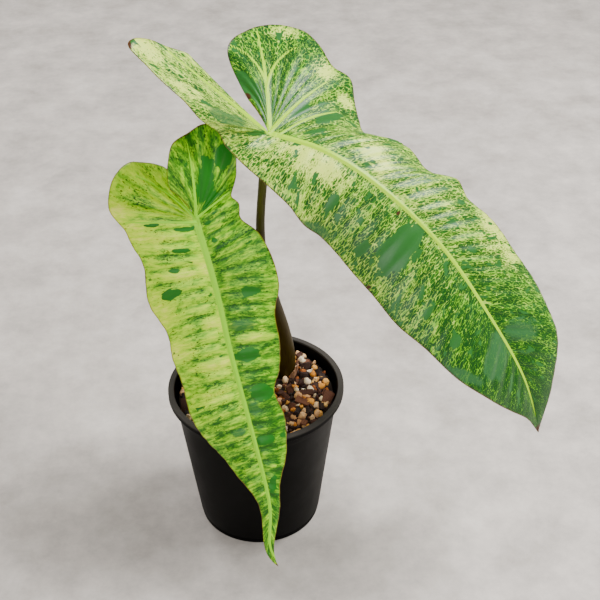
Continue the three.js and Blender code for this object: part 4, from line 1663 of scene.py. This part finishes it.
RIGHT_BLADE = Blade(
    name="leaf_right",
    shape=RIGHT_LEAF,
    slot="dark_blade",
    finish=DARK_SKIN,
    ribs=(
        Rib(Side.RIGHT, 4.5, 0.92, 2.0),
        Rib(Side.LEFT, 3.5, 0.93, 2.0, start_row=3.2),
        Rib(Side.LEFT, 2.3, 0.97, 1.2, start_row=3.25, start=0.45),
        Rib(Side.LEFT, 5.1, 0.8, 1.2, start_row=3.3, start=0.36),
        Rib(Side.LEFT, 7.6, 0.75, 1.5),
        Rib(Side.LEFT, 9.1, 0.78, 1.0),
    ),
    areas={
        (Mark.SOLID, Side.RIGHT): (
            (18.7, 0.4, 20, 12), (17.7, 0.7, 6, 4), (15.6, 0.53, 7, 3), (20.5, 0.67, 4.5, 3),
            (21.5, 0.66, 5, 3.5), (10.3, 0.3, 9, 2),
        ),
        (Mark.BLUE, Side.RIGHT): (
            (22.9, 0.36, 17, 11), (8.35, 0.52, 19, 4.5), (15.6, 0.95, 4.0, 14), (22.0, 0.92, 4.0, 16),
        ),
        # Painted sheen: this grey area stands for a silvery glint of the lamps.
        (Mark.BLUE, Side.LEFT): (
            (19.7, 0.35, 13, 8),
        ),
        (Mark.SOLID, Side.LEFT): (
            (9.9, 0.27, 9, 2.5), (9.3, 0.58, 14, 5), (8.4, 0.33, 10, 4), (1.1, 0.82, 17, 6.5),
        ),
        # Painted highlights: the pale areas at rows 4.3, 6.8 and 8.8 on the lobe and at 16.5 and 17.3 stand
        # for the lamps' glints.
        (Mark.PALE, Side.LEFT): (
            (16.5, 0.85, 14, 16), (17.3, 0.8, 11, 9), (6.8, 0.88, 12, 8), (4.3, 0.9, 9, 12),
            (8.8, 0.88, 8, 7), (12.2, 0.4, 9, 15),
        ),
        # Painted highlight: the pale area at row 14.2, beside the midrib, stands for a lamp's glint.
        (Mark.PALE, Side.RIGHT): (
            (14.2, 0.24, 10, 22), (7.1, 0.76, 12, 5), (5.5, 0.95, 14, 8),
        ),
        (Mark.DRY, Side.RIGHT): (
            (26, 1, 7, 7), (6, 1, 3.5, 3), (18.75, 0.97, 2, 1.6), (17.8, 0.1, 2, 1.2),
        ),
        (Mark.DRY, Side.LEFT): (
            (23, 1, 7, 7), (0.4, 0.9, 3, 2),
        ),
    },
    tones={
        # From row 8 to row 15 the paleness is a painted highlight beside the joint.
        Side.RIGHT: (
            (0, 0.35), (8, 0.25), (12, 0.3), (15, 0.1), (17, -0.1), (20, -0.1), (22, -0.6), (24, -1.1),
            (26, -1.2),
        ),
        Side.LEFT: (
            (0, -0.4), (7, -0.25), (10, 0.0), (15, 0.15), (18, -0.25), (20, -0.6), (23, -1.2),
        ),
    },
    vein_pitch=10.5,
    quilting=1.2,
)
CHUNK_BARK = BarkSkin("pine bark chunk", ("#120906", "#2e160c", "#4c2816", "#74442a"))
CHIP_BARK = BarkSkin("pine bark chip", CHUNK_BARK.tones)
PUMICE = BarkSkin("cream pumice", ("#c88850", "#f0bc84", "#f8dcb0", "#fff0d8"))
CLAY = BarkSkin("fired clay grain", ("#8a4410", "#c87824", "#e89c34", "#f0c478"))
GRAINS = (
    Grains("mix_chunks_large", GrainShape.CHUNK, 2.6, 5.4, 6.0, 2.8, 3.2, 1.2, 3, CHUNK_BARK),
    Grains("mix_chunks_small", GrainShape.CHUNK, 1.0, 2.0, 2.6, 9.0, 1.3, 0.8, 8, CHIP_BARK),
    Grains("mix_pumice", GrainShape.PEBBLE, 1.4, 3.7, 5.2, 3.0, 5.5, 2.2, 21, PUMICE),
    Grains("mix_clay", GrainShape.PEBBLE, 1.3, 3.3, 5.2, 2.6, 4.5, 2.2, 34, CLAY),
)


def main() -> None:
    """Builds the plant and the studio."""
    logging.basicConfig(level=logging.INFO, format="%(message)s")
    Studio().build()
    pot = NurseryPot()
    pot.build()
    PottingMix(GRAINS).build(pot)
    for piece in (Stem(), Sheath(), LEFT_STALK, RIGHT_STALK, LEFT_BLADE, RIGHT_BLADE):
        piece.build()


if __name__ == "__main__":
    main()
